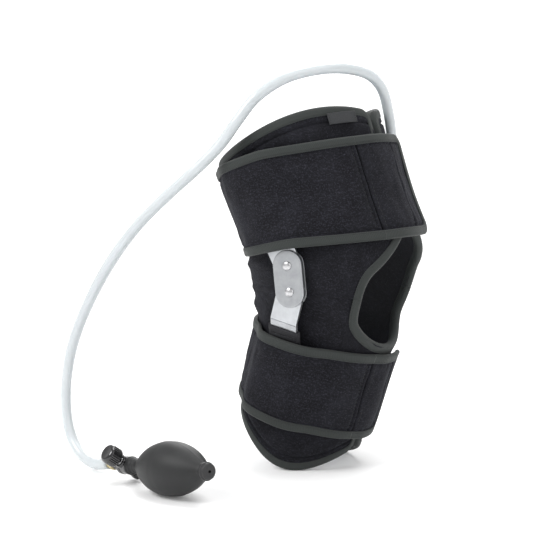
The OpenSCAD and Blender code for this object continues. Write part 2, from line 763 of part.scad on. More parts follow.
// The hose's route, from the elbow over the wrap's upper edge and down to the pump
hose_route = concat([hose_exit], [
    [38, 46, 318], [39, 28, 338], [35, 6, 350], [24, -22, 354], [8, -46, 352], [-12, -66, 344],
    [-32, -80, 328], [-47, -86, 308], [-62, -89, 288], [-84, -94, 266], [-111, -98, 243],
    [-139, -103, 216], [-164, -106, 185], [-185, -108, 151], [-201, -110, 116], [-209, -112, 82],
    [-210, -113, 50], [-203, -116, 27], [-188, -122, 12], [-168, -130, 6.8]
], [from_pump(-ferrule_end)]);

// Catmull-Rom point between route points i and i + 1, t from 0 to 1
function route_point(i) = hose_route[min(max(i, 0), len(hose_route) - 1)];
function along(i, t) =
    let (a = route_point(i - 1), b = route_point(i), c = route_point(i + 1), d = route_point(i + 2))
    0.5 * (2 * b + (c - a) * t + (2 * a - 5 * b + 4 * c - d) * t * t + (3 * b - a - 3 * c + d) * t * t * t);
function unit(v) = v / norm(v);

module air_hose() {
    sides = 10;
    centres = [for (i = [0:len(hose_route) - 2], t = [0, 0.5]) along(i, t), hose_route[len(hose_route) - 1]];
    last = len(centres) - 1;
    start_way = from_thigh([-sin(port_turn) * cos(port_angle), -sin(port_turn) * sin(port_angle), cos(port_turn)])
        - from_thigh([0, 0, 0]);
    function way(i) = i == 0 ? start_way : i == last ? from_pump(1) - from_pump(0)
        : unit(centres[i + 1] - centres[i - 1]);
    function ring(i) = let (
        w = way(i),
        u = unit(cross(w, [1 - i / last, i / last, 0])),
        v = cross(w, u)
    ) [for (k = [0:sides - 1]) centres[i] + hose_diameter / 2 * (cos(360 * k / sides) * u + sin(360 * k / sides) * v)];
    color("#e9ecee") tube([for (i = [0:last]) ring(i)], sides);
}

// ---- Nodes ----

thigh_shell();
thigh_lining();
thigh_air_chamber();
thigh_edge_binding();
thigh_gel_pack(true);  // thigh_gel_pack_lateral
thigh_gel_pack(false);  // thigh_gel_pack_medial
thigh_strap();
thigh_strap_binding();
thigh_strap_tab();
thigh_tab_binding();
thigh_hook_patch();
label_tab();
knee_panel();
patella_binding();
air_chamber_link();
calf_shell();
calf_lining();
calf_air_chamber();
calf_edge_binding();
calf_gel_pack(true);  // calf_gel_pack_lateral
calf_gel_pack(false);  // calf_gel_pack_medial
calf_strap();
calf_strap_binding();
calf_strap_tab();
calf_tab_binding();
calf_hook_patch();
upper_pocket(true);  // lateral_upper_pocket
upper_pocket(false);  // medial_upper_pocket
lower_pocket(true);  // lateral_lower_pocket
lower_pocket(false);  // medial_lower_pocket
upper_stay(true);  // lateral_upper_stay
upper_stay(false);  // medial_upper_stay
lower_stay(true);  // lateral_lower_stay
lower_stay(false);  // medial_lower_stay
hinge_plate(true, outer_plate_level);  // lateral_outer_plate
hinge_plate(true, hinge_inner);  // lateral_inner_plate
rivets(true);  // lateral_rivets
hinge_plate(false, outer_plate_level);  // medial_outer_plate
hinge_plate(false, hinge_inner);  // medial_inner_plate
rivets(false);  // medial_rivets
port_flange();
port_elbow();
air_hose();
hose_ferrule();
pump_valve_body();
pump_valve_cap();
release_button();
release_spring();
pump_bulb();
pump_inlet_valve();
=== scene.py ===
"""Looks of the cold compression wrap: a hinged, air-filled knee wrap with its hose and hand pump.

Lengths in the making are millimetres in the frame of the part; meshes are written in metres.
Angles round the leg run from the lateral side (0) to the front (90), as in the part's source.
"""

from __future__ import annotations

import json
import logging
import math
from collections.abc import Callable
from dataclasses import dataclass, field
from enum import Enum
from typing import Any

import bmesh
import bpy
import numpy as np
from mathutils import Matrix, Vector

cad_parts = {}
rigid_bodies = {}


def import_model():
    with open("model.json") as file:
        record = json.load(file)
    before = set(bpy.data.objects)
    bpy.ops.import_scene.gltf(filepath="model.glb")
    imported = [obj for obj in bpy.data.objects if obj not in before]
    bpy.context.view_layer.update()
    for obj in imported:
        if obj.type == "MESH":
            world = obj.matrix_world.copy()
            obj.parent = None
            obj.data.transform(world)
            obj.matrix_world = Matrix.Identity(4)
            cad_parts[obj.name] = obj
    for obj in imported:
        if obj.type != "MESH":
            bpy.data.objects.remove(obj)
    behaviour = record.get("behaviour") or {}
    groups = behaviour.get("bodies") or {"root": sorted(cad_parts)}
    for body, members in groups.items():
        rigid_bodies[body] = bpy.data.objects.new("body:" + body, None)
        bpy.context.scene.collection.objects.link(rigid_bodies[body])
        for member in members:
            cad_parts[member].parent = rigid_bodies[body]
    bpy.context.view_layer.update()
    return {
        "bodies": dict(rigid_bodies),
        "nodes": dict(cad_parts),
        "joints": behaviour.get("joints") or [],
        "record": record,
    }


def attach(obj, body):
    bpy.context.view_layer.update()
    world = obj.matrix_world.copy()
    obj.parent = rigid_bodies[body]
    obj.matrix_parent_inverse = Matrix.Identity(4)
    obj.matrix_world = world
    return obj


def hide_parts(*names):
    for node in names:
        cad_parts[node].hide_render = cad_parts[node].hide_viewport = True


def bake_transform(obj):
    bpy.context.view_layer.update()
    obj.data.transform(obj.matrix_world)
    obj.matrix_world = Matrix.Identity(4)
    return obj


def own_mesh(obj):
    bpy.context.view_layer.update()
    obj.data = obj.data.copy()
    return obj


LOG = logging.getLogger("wrap")
Array = np.ndarray
Place = Callable[[Array, Array, Array], Array]
MM = 0.001
THIGH, PLATES, CALF = "thigh", "lateral_plates", "calf"
TAPE_TOP, TAPE_SEAM = 0.72, -5.5


# ---- Plain maths on arrays ----


def smooth(t: Array | float) -> Array:
    """Ease from 0 to 1: three t squared less two t cubed, held at both ends."""
    u = np.clip(t, 0.0, 1.0)
    return u * u * (3 - 2 * u)


def unit(v: Array) -> Array:
    """Each vector divided by its length."""
    return v / np.maximum(np.linalg.norm(v, axis=-1, keepdims=True), 1e-9)


def turn_from(a: Array, b: float) -> Array:
    """Signed difference of angles in degrees, from -180 to 180."""
    return (a - b + 180.0) % 360.0 - 180.0


def ripples(u: Array, v: Array, size: float, seed: int, waves: int = 9) -> Array:
    """Soft unevenness: the mean of plane sine waves in random directions.

    Args:
        u: First coordinate in millimetres.
        v: Second coordinate in millimetres.
        size: Rough wavelength in millimetres.
        seed: Which set of waves.
        waves: How many waves are added.

    Returns:
        Values of about -1 to 1, shaped as u and v.
    """
    draw = np.random.default_rng(seed)
    heading = draw.uniform(0, 2 * np.pi, waves)
    pace = 2 * np.pi / (size * draw.uniform(0.6, 1.7, waves))
    start = draw.uniform(0, 2 * np.pi, waves)
    along = np.multiply.outer(u, np.cos(heading) * pace) + np.multiply.outer(v, np.sin(heading) * pace)
    return np.sin(along + start).sum(-1) / math.sqrt(waves)


def rounding(distance: Array, radius: float) -> Array:
    """Share of full thickness near a rounded border: a quarter circle of the given radius."""
    inside = 1 - np.clip(distance / radius, 0, 1)
    return np.sqrt(np.maximum(0.0, 1 - inside * inside))


def eased_corners(points: Array, radius: float, steps: int = 4) -> Array:
    """A polyline whose inner corners are each replaced by a short quadratic curve.

    Args:
        points: (n, k) corners in order.
        radius: How far from a corner its curve starts, at most 0.45 of the shorter side.
        steps: Pieces in each curve.

    Returns:
        (m, k) points, from the first corner to the last.
    """
    back, ahead = points[:-2] - points[1:-1], points[2:] - points[1:-1]
    reach = np.minimum(np.linalg.norm(back, axis=1), np.linalg.norm(ahead, axis=1)) * 0.45
    reach = np.minimum(reach, radius)[:, None]
    start, end = points[1:-1] + unit(back) * reach, points[1:-1] + unit(ahead) * reach
    t = np.linspace(0, 1, steps + 1)[None, :, None]
    curve = (1 - t) ** 2 * start[:, None] + 2 * t * (1 - t) * points[1:-1][:, None] + t * t * end[:, None]
    return np.concatenate([points[:1], curve.reshape(-1, points.shape[1]), points[-1:]])


def spread(points: Array, pitch: float) -> tuple[Array, Array]:
    """Even places along a line.

    Args:
        points: (n, 3) line.
        pitch: Distance wanted between places.

    Returns:
        The distance of each place along the line, and the line's own distances at its points.
    """
    own = np.concatenate([[0.0], np.cumsum(np.linalg.norm(np.diff(points, axis=0), axis=1))])
    count = max(2, int(round(own[-1] / pitch)) + 1)
    return np.linspace(0, own[-1], count), own


def carried(values: Array, own: Array, wanted: Array) -> Array:
    """Values known at some distances, read at others, column by column."""
    return np.stack([np.interp(wanted, own, column) for column in values.T], axis=1)


class Axis(Enum):
    """An axis to turn about, with the two columns that the turn mixes."""

    X = (1, 2)
    Y = (2, 0)
    Z = (0, 1)


def shift(x: float = 0, y: float = 0, z: float = 0) -> Array:
    """A 4 x 4 move."""
    m = np.eye(4)
    m[:3, 3] = (x, y, z)
    return m


def turn(axis: Axis, degrees: float) -> Array:
    """A 4 x 4 right-handed turn about an axis."""
    m, (i, j) = np.eye(4), axis.value
    c, s = math.cos(math.radians(degrees)), math.sin(math.radians(degrees))
    m[i, i], m[j, j], m[i, j], m[j, i] = c, c, -s, s
    return m


def flip_y() -> Array:
    """The mirror that swaps the lateral and the medial side."""
    return np.diag([1.0, -1.0, 1.0, 1.0])


def moved(frame: Array, points: Array) -> Array:
    """Points carried by a 4 x 4 frame."""
    return points @ frame[:3, :3].T + frame[:3, 3]


# ---- The leg that the wrap is shaped on ----


@dataclass(frozen=True)
class LegForm:
    """The surface of the wrap, in degrees round the leg and millimetres along it."""

    knee_height: float = 174.0
    offset: float = 13.0
    thigh_lean: float = 20.0
    calf_lean: float = 16.0
    plate_lean: float = 6.0
    knee_radius: float = 75.0
    calf_radius: float = 60.0
    strap_lift: float = 1.4
    strap_thickness: float = 3.6
    tab_lift: float = 2.0
    opening_angle: float = 90.0
    opening_half: float = 52.0
    opening_level: float = -14.0
    opening_top: float = 24.5
    opening_bottom: float = -48.8

    def thigh_radius(self, z: Array) -> Array:
        """A cone that widens upwards, with a low bell at the knee."""
        return self.knee_radius - 5 + 0.052 * z + 5 * np.exp(-((z / 35) ** 2))

    def calf_radius_at(self, z: Array) -> Array:
        """A tube with a bell at the knee that tapers slightly at its end."""
        bell = (self.knee_radius - self.calf_radius) * np.exp(-((z / 40) ** 2))
        return self.calf_radius + bell - 3 * (z / 155) ** 4

    def lean(self, a: Array, z: Array) -> Array:
        """Lean in degrees: the plates' at the knee, easing to each cuff's own, more slowly at the back."""
        across = self.knee_radius * np.sin(np.radians(a)) - self.offset
        rise, drop = (np.maximum(30.0, 8 - across * math.tan(math.radians(slope))) for slope in (24, 29))
        up = -self.plate_lean - (self.thigh_lean - self.plate_lean) * smooth(z / rise)
        down = -self.plate_lean + (self.calf_lean + self.plate_lean) * smooth(-z / drop)
        return np.where(z > 0, up, down)

    def at(self, a: Array, z: Array, radius: Array, lean: Array) -> Array:
        """A point at an angle, height and radius on an axis of the given lean through the knee."""
        a, t = np.radians(a), np.radians(lean)
        x = radius * np.sin(a)
        return np.stack(
            [
                self.offset + x * np.cos(t) + z * np.sin(t),
                -radius * np.cos(a),
                self.knee_height - x * np.sin(t) + z * np.cos(t),
            ],
            axis=-1,
        )

    def skin(self, a: Array, z: Array, lift: Array) -> Array:
        """The wrap's outer surface: cuff, knee and cuff in one, with the swell behind the knee."""
        a, z = np.broadcast_arrays(np.asarray(a, float), np.asarray(z, float))
        held = smooth((z + 61) / 17) * smooth((44 - z) / 18)
        swell = 7.5 * np.exp(-((turn_from(a, -80) / 50) ** 2)) * held
        radius = np.where(z > 0, self.thigh_radius(z), self.calf_radius_at(z)) + swell + lift
        return self.at(a, z, radius, self.lean(a, z))

    def pocket_swell(self, a: Array, middle: float) -> Array:
        """1 over a stay pocket, falling to 0 between them: a flat-topped bell."""
        near = np.minimum(np.abs(turn_from(a, -middle)), np.abs(turn_from(a, 180 + middle)))
        return np.exp(-((near / 28) ** 4))

    def thigh_strap(self, a: Array, z: Array, lift: Array) -> Array:
        """The outer face of the thigh strap."""
        swell = (9 + 2.6 * smooth((54 - z) / 14)) * self.pocket_swell(a, 13)
        radius = self.thigh_radius(z) + self.strap_lift + self.strap_thickness + swell
        return self.at(a, z, radius + lift, -self.thigh_lean)

    def calf_strap(self, a: Array, z: Array, lift: Array) -> Array:
        """The outer face of the calf strap."""
        radius = self.calf_radius_at(z) + self.strap_lift + self.strap_thickness
        return self.at(a, z, radius + 11.8 * self.pocket_swell(a, 6) + lift, self.calf_lean)

    def thigh_tab(self, a: Array, z: Array, lift: Array) -> Array:
        """The outer face of the thigh strap's free end, which rises from its seam and stays flat near its end."""
        flat = 80 * (1 / np.cos(np.radians(np.clip(a - 95, 0, 20))) - 1)
        return self.thigh_strap(a, z, lift + self.tab_lift * smooth((a - 59) / 16) + flat)

    def calf_tab(self, a: Array, z: Array, lift: Array) -> Array:
        """The outer face of the calf strap's free end, which rises from its seam."""
        return self.calf_strap(a, z, lift + self.tab_lift * smooth((a - 68) / 14))

    def thigh_high(self, a: Array) -> Array:
        """Upper rim: a low lobe at the front of each side."""
        side = np.where(a > -90, a, 180 - a)
        return 122 + 18 * np.exp(-((turn_from(side, 35) / 62) ** 2)) - 5 * np.sin(np.radians(side))

    def calf_low(self, a: Array) -> Array:
        """Lower rim: a deep lobe on each side."""
        near = np.minimum(np.abs(turn_from(a, 16)), np.abs(turn_from(a, 164)))
        return -143 - 33 * np.exp(-((near / 56) ** 2))

    def thigh_strap_low(self, a: Array) -> Array:
        """Lower edge of the thigh strap, dropping towards the front."""
        s = np.sin(np.radians(a))
        return 29 - s * np.where(s > 0, 20, 13)

    def thigh_strap_high(self, a: Array) -> Array:
        """Upper edge of the thigh strap."""
        s = np.sin(np.radians(a))
        return 114.5 - s * np.where(s > 0, 13, 6)

    def calf_strap_high(self, a: Array) -> Array:
        """Upper edge of the calf strap."""
        return -58 + 3 * np.sin(np.radians(a))

    def calf_strap_low(self, a: Array) -> Array:
        """Lower edge of the calf strap."""
        return -133 - 2 * np.sin(np.radians(a))

    def opening_upper(self, a: Array) -> Array:
        """Height of the opening's upper edge at an angle: an arc-cosine arch."""
        share = np.clip(np.abs(turn_from(a, self.opening_angle)) / self.opening_half, 0, 1)
        return self.opening_level + (self.opening_top - self.opening_level) * np.arccos(share) * 2 / np.pi

    def opening_lower(self, a: Array) -> Array:
        """Height of the opening's lower edge at an angle: half an ellipse."""
        share = np.clip(np.abs(turn_from(a, self.opening_angle)) / self.opening_half, 0, 1)
        return self.opening_level - (self.opening_level - self.opening_bottom) * np.sqrt(1 - share * share)

    def beside_opening(self, a: Array) -> Array:
        """True where an angle misses the patella opening."""
        return np.abs(turn_from(a, self.opening_angle)) >= self.opening_half

    @property
    def fold_point(self) -> Array:
        """Where the plane between the upper and the lower skin crosses the leg's axis."""
        return self.skin(np.array(0.0), np.array(self.opening_level), -self.calf_radius_at(np.array(-14.0)))

    @property
    def fold_normal(self) -> Array:
        """The upward normal of the plane between the upper and the lower skin."""
        t = math.radians(float(self.lean(np.array(90.0), np.array(self.opening_level))))
        return np.array([math.sin(t), 0.0, math.cos(t)])

    def fold_height(self, a: Array) -> Array:
        """Height at which the skin crosses the fold plane, by halving the interval 40 times."""
        low, high = np.full(a.shape, -34.0), np.full(a.shape, 26.0)
        for _ in range(40):
            middle = (low + high) / 2
            above = (self.skin(a, middle, 0.0) - self.fold_point) @ self.fold_normal > 0
            low, high = np.where(above, low, middle), np.where(above, middle, high)
        return (low + high) / 2


LEG = LegForm()


# ---- Meshes from grids ----


class Draft:
    """Gathers grids of points in millimetres and makes one closed object of them."""

    def __init__(self) -> None:
        """Start empty."""
        self.points: list[Array] = []
        self.faces: list[Array] = []
        self.charts: list[Array] = []
        self.size = 0

    def _keep(self, points: Array, faces: Array, chart: Array) -> None:
        """Add points, quads that count from this piece's first point, and a chart in metres."""
        self.points.append(points)
        self.faces.append(faces + self.size)
        self.charts.append(chart)
        self.size += len(points)

    @staticmethod
    def _quads(n: int, m: int) -> Array:
        """The faces of an n by m grid as point numbers."""
        index = np.arange(n * m).reshape(n, m)
        return np.stack([index[:-1, :-1], index[1:, :-1], index[1:, 1:], index[:-1, 1:]], -1).reshape(-1, 4)

    def grid(self, points: Array) -> "Draft":
        """Add a grid of points as quads, charted by the distances along its rows and columns.

        Args:
            points: (n, m, 3) grid in millimetres.

        Returns:
            This draft.
        """
        n, m = points.shape[:2]
        step_u = np.linalg.norm(np.diff(points, axis=0), axis=2)
        step_v = np.linalg.norm(np.diff(points, axis=1), axis=2)
        u = np.concatenate([np.zeros((1, m)), np.cumsum(step_u, axis=0)])
        v = np.concatenate([np.zeros((n, 1)), np.cumsum(step_v, axis=1)], axis=1)
        self._keep(points.reshape(-1, 3), self._quads(n, m), np.stack([u, v], -1).reshape(-1, 2) * MM)
        return self

    def walls(self, outer: Array, inner: Array) -> "Draft":
        """Add an outer and an inner grid and the four rims between them."""
        self.grid(outer).grid(inner[::-1])
        for a, b in (
            (outer[0], inner[0]),
            (inner[-1], outer[-1]),
            (inner[:, 0], outer[:, 0]),
            (outer[:, -1], inner[:, -1]),
        ):
            self.grid(np.stack([a, b]))
        return self

    def tube(self, loops: Array) -> "Draft":
        """Add a grid whose second axis closes on itself, with both ends filled from their middles."""
        middle = loops.mean(axis=1, keepdims=True)
        return self.grid(np.concatenate([middle[:1] + 0 * loops[:1], loops, middle[-1:] + 0 * loops[-1:]]))

    def beads(
        self, centre: Array, along: Array, aside: Array, normal: Array, size: tuple[float, float, float]
    ) -> "Draft":
        """Add a small ellipsoid at each centre: the stitches of a seam.

        Args:
            centre: (n, 3) places.
            along: (n, 3) unit directions of the thread.
            aside: (n, 3) unit directions across it.
            normal: (n, 3) unit directions out of the cloth.
            size: Half lengths along, across and out, in millimetres.

        Returns:
            This draft.
        """
        polar = np.linspace(0, np.pi, 5)[:, None]
        round_ = np.linspace(0, 2 * np.pi, 7)[None, :]
        x = np.cos(polar) + 0 * round_
        y, z = np.sin(polar) * np.cos(round_), np.sin(polar) * np.sin(round_)
        ball = np.stack([x * size[0], y * size[1], z * size[2]], -1).reshape(-1, 3)
        axes = np.stack([along, aside, normal], axis=1)
        points = centre[:, None, :] + np.einsum("kc,ncd->nkd", ball, axes)
        faces = (self._quads(5, 7)[None] + len(ball) * np.arange(len(centre))[:, None, None]).reshape(-1, 4)
        self._keep(points.reshape(-1, 3), faces, np.tile(ball[:, :2] * MM, (len(centre), 1)))
        return self

    def make(self, name: str, finish: bpy.types.Material, sharp: float | None = None) -> bpy.types.Object:
        """Write the mesh, merge its seams and poles, turn its faces outwards and dress it.

        Args:
            name: Name of the piece.
            finish: Its material.
            sharp: Angle in degrees past which an edge is shaded sharp, or None for smooth everywhere.

        Returns:
            The object, at the origin.
        """
        points, faces = np.concatenate(self.points) * MM, np.concatenate(self.faces)
        chart = np.concatenate(self.charts)
        mesh = bpy.data.meshes.new(name)
        mesh.vertices.add(len(points))
        mesh.vertices.foreach_set("co", points.astype(np.float32).ravel())
        mesh.loops.add(faces.size)
        mesh.loops.foreach_set("vertex_index", faces.ravel().astype(np.int32))
        mesh.polygons.add(len(faces))
        mesh.polygons.foreach_set("loop_start", np.arange(0, faces.size, 4, dtype=np.int32))
        mesh.polygons.foreach_set("loop_total", np.full(len(faces), 4, dtype=np.int32))
        mesh.materials.append(finish)
        mesh.update(calc_edges=True)
        layer = mesh.uv_layers.new(name="cloth")
        layer.data.foreach_set("uv", chart[faces.ravel()].astype(np.float32).ravel())
        work = bmesh.new()
        work.from_mesh(mesh)
        bmesh.ops.remove_doubles(work, verts=work.verts, dist=3e-6)
        bmesh.ops.dissolve_degenerate(work, edges=work.edges, dist=1e-6)
        bmesh.ops.recalc_face_normals(work, faces=work.faces)
        for face in work.faces:
            face.smooth = True
        work.to_mesh(mesh)
        work.free()
        if sharp is not None:
            mesh.set_sharp_from_angle(angle=math.radians(sharp))
        piece = bpy.data.objects.new(name, mesh)
        bpy.context.scene.collection.objects.link(piece)
        LOG.info("%s: %d faces", name, len(mesh.polygons))
        return piece


def settle(piece: bpy.types.Object, body: str, slot: str, *nodes: str) -> None:
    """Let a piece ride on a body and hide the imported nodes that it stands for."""
    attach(piece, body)
    if nodes:
        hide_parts(*nodes)


def lathe(profile: Array, frame: Array, sides: int = 48, gain: Callable[[Array, Array], Array] | None = None) -> Array:
    """A profile turned about its own Z: the radius times the cosine and sine of the turn, at its height.

    Args:
        profile: (m, 2) radii and heights in millimetres.
        frame: 4 x 4 place of the axis.
        sides: Segments round the axis.
        gain: Amount added to the radius, from the turn in radians and the height.

    Returns:
        (sides + 1, m, 3) grid.
    """
    angle = np.linspace(0, 2 * np.pi, sides + 1)[:, None]
    radius, height = profile[None, :, 0] + 0 * angle, profile[None, :, 1] + 0 * angle
    if gain is not None:
        radius = np.where(radius > 0.01, radius + gain(angle, height), radius)
    return moved(frame, np.stack([radius * np.cos(angle), radius * np.sin(angle), height], -1))


def pipe(path: Array, radius: Array, reference: Array, sides: int = 24) -> Array:
    """Rings of the given radii square to a path, in the order of its points.

    Args:
        path: (n, 3) centres.
        radius: (n,) radii.
        reference: (n, 3) or (3,) directions that are never along the path, which set each ring's start.
        sides: Points in each ring, less the closing one.

    Returns:
        (n, sides + 1, 3) grid.
    """
    way = unit(np.gradient(path, axis=0))
    first = unit(np.cross(way, reference + 0 * way))
    second = np.cross(way, first)
    angle = np.linspace(0, 2 * np.pi, sides + 1)[None, :, None]
    return path[:, None] + radius[:, None, None] * (np.cos(angle) * first[:, None] + np.sin(angle) * second[:, None])


@dataclass
class Trail:
    """A line on a surface, with the surface's outward normal and the way that leaves the sheet."""

    points: Array
    normal: Array
    aside: Array

    @classmethod
    def on(cls, place: Place, a: Array, z: Array, inside: tuple[Array, Array]) -> "Trail":
        """Lay a line on a surface.

        Args:
            place: The surface.
            a: Angles of the line.
            z: Heights of the line.
            inside: Angles and heights of a line that lies further inside the sheet.

        Returns:
            The trail, its normals by cross products of small steps on the surface.
        """
        step, zero = 0.05, np.zeros(a.shape)
        points = place(a, z, zero)
        normal = unit(np.cross(place(a + step, z, zero) - points, place(a, z + step, zero) - points))
        normal *= np.sign(((place(a, z, zero + 1) - points) * normal).sum(-1, keepdims=True))
        aside = unit(np.cross(np.gradient(points, axis=0), normal))
        aside *= np.sign(((points - place(*inside, zero)) * aside).sum())
        return cls(points, normal, aside)

    def offset(self, out: float | Array, aside: float | Array) -> Array:
        """The line moved out of the surface and aside in it."""
        return self.points + self.normal * np.asarray(out)[..., None] + self.aside * np.asarray(aside)[..., None]

    def carry(self, profile: Array) -> Array:
        """A closed profile of (out, aside) pairs carried along the line."""
        return (
            self.points[:, None]
            + self.normal[:, None] * profile[None, :, :1]
            + self.aside[:, None] * profile[None, :, 1:]
        )

    def stitched(self, draft: Draft, out: float, aside: float, pitch: float = 3.4, length: float = 2.4) -> None:
        """Add a row of stitches beside the line.

        Args:
            draft: Where the stitches go.
            out: How far out of the surface they lie.
            aside: How far aside of the line they lie.
            pitch: Distance from stitch to stitch.
            length: Length of one stitch.
        """
        line = self.offset(out, aside)
        wanted, own = spread(line, pitch)
        wanted = (wanted[:-1] + wanted[1:]) / 2
        centre, normal = carried(line, own, wanted), unit(carried(self.normal, own, wanted))
        along = unit(carried(np.gradient(line, axis=0), own, wanted))
        draft.beads(centre, along, unit(np.cross(normal, along)), normal, (length / 2, 0.32, 0.3))


def tape_profile(width: float, half: float, tape: float = 0.9) -> Array:
    """A tape folded over an edge: outside leg, half circle, inside leg, then back along its inner face.

    Args:
        width: How far each leg reaches over the sheet.
        half: Half thickness of the sheet at its edge.
        tape: Thickness of the tape.

    Returns:
        (m, 2) closed loop of (out, aside) pairs, the sheet's outer face at out 0 and its edge at aside 0.
    """
    bend = np.linspace(0, np.pi, 13)[:, None]
    ring = np.hstack([np.cos(bend), np.sin(bend)])
    middle = np.array([[-half, -half]])
    reach = np.array([1.0, 0.93, 0.82, 0.76, 0.7, 0.6, 0.45, 0.3])
    lift = np.array([0.42, 0.95, 1.0, 0.72, 1.0, 1.08, 1.06, 1.0]) * tape
    outer_leg = np.stack([lift, -half - reach * (width - half)], 1)
    inner_leg = np.stack([-2 * half - lift[::-1], -half - reach[::-1] * (width - half)], 1)
    outside = np.concatenate([outer_leg, middle + ring * (half + tape), inner_leg])
    back = np.array([[-2 * half + 0.05, -width], [-2 * half + 0.05, -half]])
    inside = np.concatenate([back, (middle + ring * (half - 0.05))[::-1], [[-0.05, -half], [-0.05, -width]]])
    return np.concatenate([outside, inside, outside[:1]])


@dataclass
class SheetPlan:
    """A sheet laid on a surface between two edges, with rounded borders."""

    place: Place
    angles: Array
    low: Array
    high: Array
    thickness: float
    near: tuple[float, ...] = (0.0, 0.25, 0.8, 1.7, 3.0)
    rows: int = 24
    round_low: Array | bool = True
    round_high: bool = True
    depth: float = 0.0
    shape: Callable[[Array, Array, "SheetPlan"], tuple[Array, Array]] | None = None
    heights: Array = field(init=False)
    turns: Array = field(init=False)

    def __post_init__(self) -> None:
        """Spread the rows: fixed distances near each edge and an even share between."""
        near = np.array(self.near)
        edge = near[-1] + 1.5
        share = np.concatenate([0 * near, np.linspace(0, 1, self.rows), 0 * near + 1])[None]
        inner = edge * (1 - 2 * np.linspace(0, 1, self.rows))
        away = np.concatenate([near, inner, -near[::-1]])[None]
        self.heights = self.low[:, None] * (1 - share) + self.high[:, None] * share + away
        self.turns = self.angles[:, None] + 0 * self.heights

    def borders(self, radius: float) -> Array:
        """Share of full thickness at each point of the grid."""
        far, mean_radius = 1e3, 68
        rounded = np.broadcast_to(np.asarray(self.round_low), self.low.shape)[:, None]
        low = np.where(rounded, self.heights - self.low[:, None], far)
        high = self.high[:, None] - self.heights if self.round_high else far
        along = np.radians(np.minimum(self.turns - self.angles[0], self.angles[-1] - self.turns)) * mean_radius
        return rounding(np.minimum(np.minimum(low, high), along), radius)

    def draft(self) -> Draft:
        """Both faces of the sheet, met at its rounded borders."""
        share = self.borders(self.thickness / 2)
        outer_lift, thick = np.zeros(share.shape), np.full(share.shape, self.thickness)
        if self.shape is not None:
            outer_lift, thick = self.shape(self.turns, self.heights, self)
        middle = outer_lift - self.depth - thick / 2
        outer = self.place(self.turns, self.heights, middle + share * thick / 2)
        inner = self.place(self.turns, self.heights, middle - share * thick / 2)
        return Draft().walls(outer, inner)


def fanned(start: float, end: float, step: float, edge: tuple[float, ...] = (0.2, 0.7, 1.5, 2.8)) -> Array:
    """Angles from start to end with extra ones near both ends."""
    inner = edge[-1] + step
    middle = np.linspace(start + inner, end - inner, max(2, int((end - start) / step)))
    return np.concatenate([[start], start + np.array(edge), middle, end - np.array(edge[::-1]), [end]])


# ---- Finishes ----


class Wire:
    """A shader socket whose sums add Math nodes."""

    def __init__(self, bench: "Bench", socket: bpy.types.NodeSocket) -> None:
        """Wrap a socket of a bench's material."""
        self.bench, self.socket = bench, socket

    def _sum(self, operation: str, first: Any, second: Any) -> "Wire":
        """A Math node on two values."""
        return self.bench.node("ShaderNodeMath", {"operation": operation}, {0: first, 1: second})

    def __add__(self, other: Any) -> "Wire":
        """Sum."""
        return self._sum("ADD", self, other)

    __radd__ = __add__

    def __mul__(self, other: Any) -> "Wire":
        """Product."""
        return self._sum("MULTIPLY", self, other)

    __rmul__ = __mul__

    def __sub__(self, other: Any) -> "Wire":
        """Difference."""
        return self._sum("SUBTRACT", self, other)

    def __rsub__(self, other: Any) -> "Wire":
        """Difference from a number."""
        return self._sum("SUBTRACT", other, self)


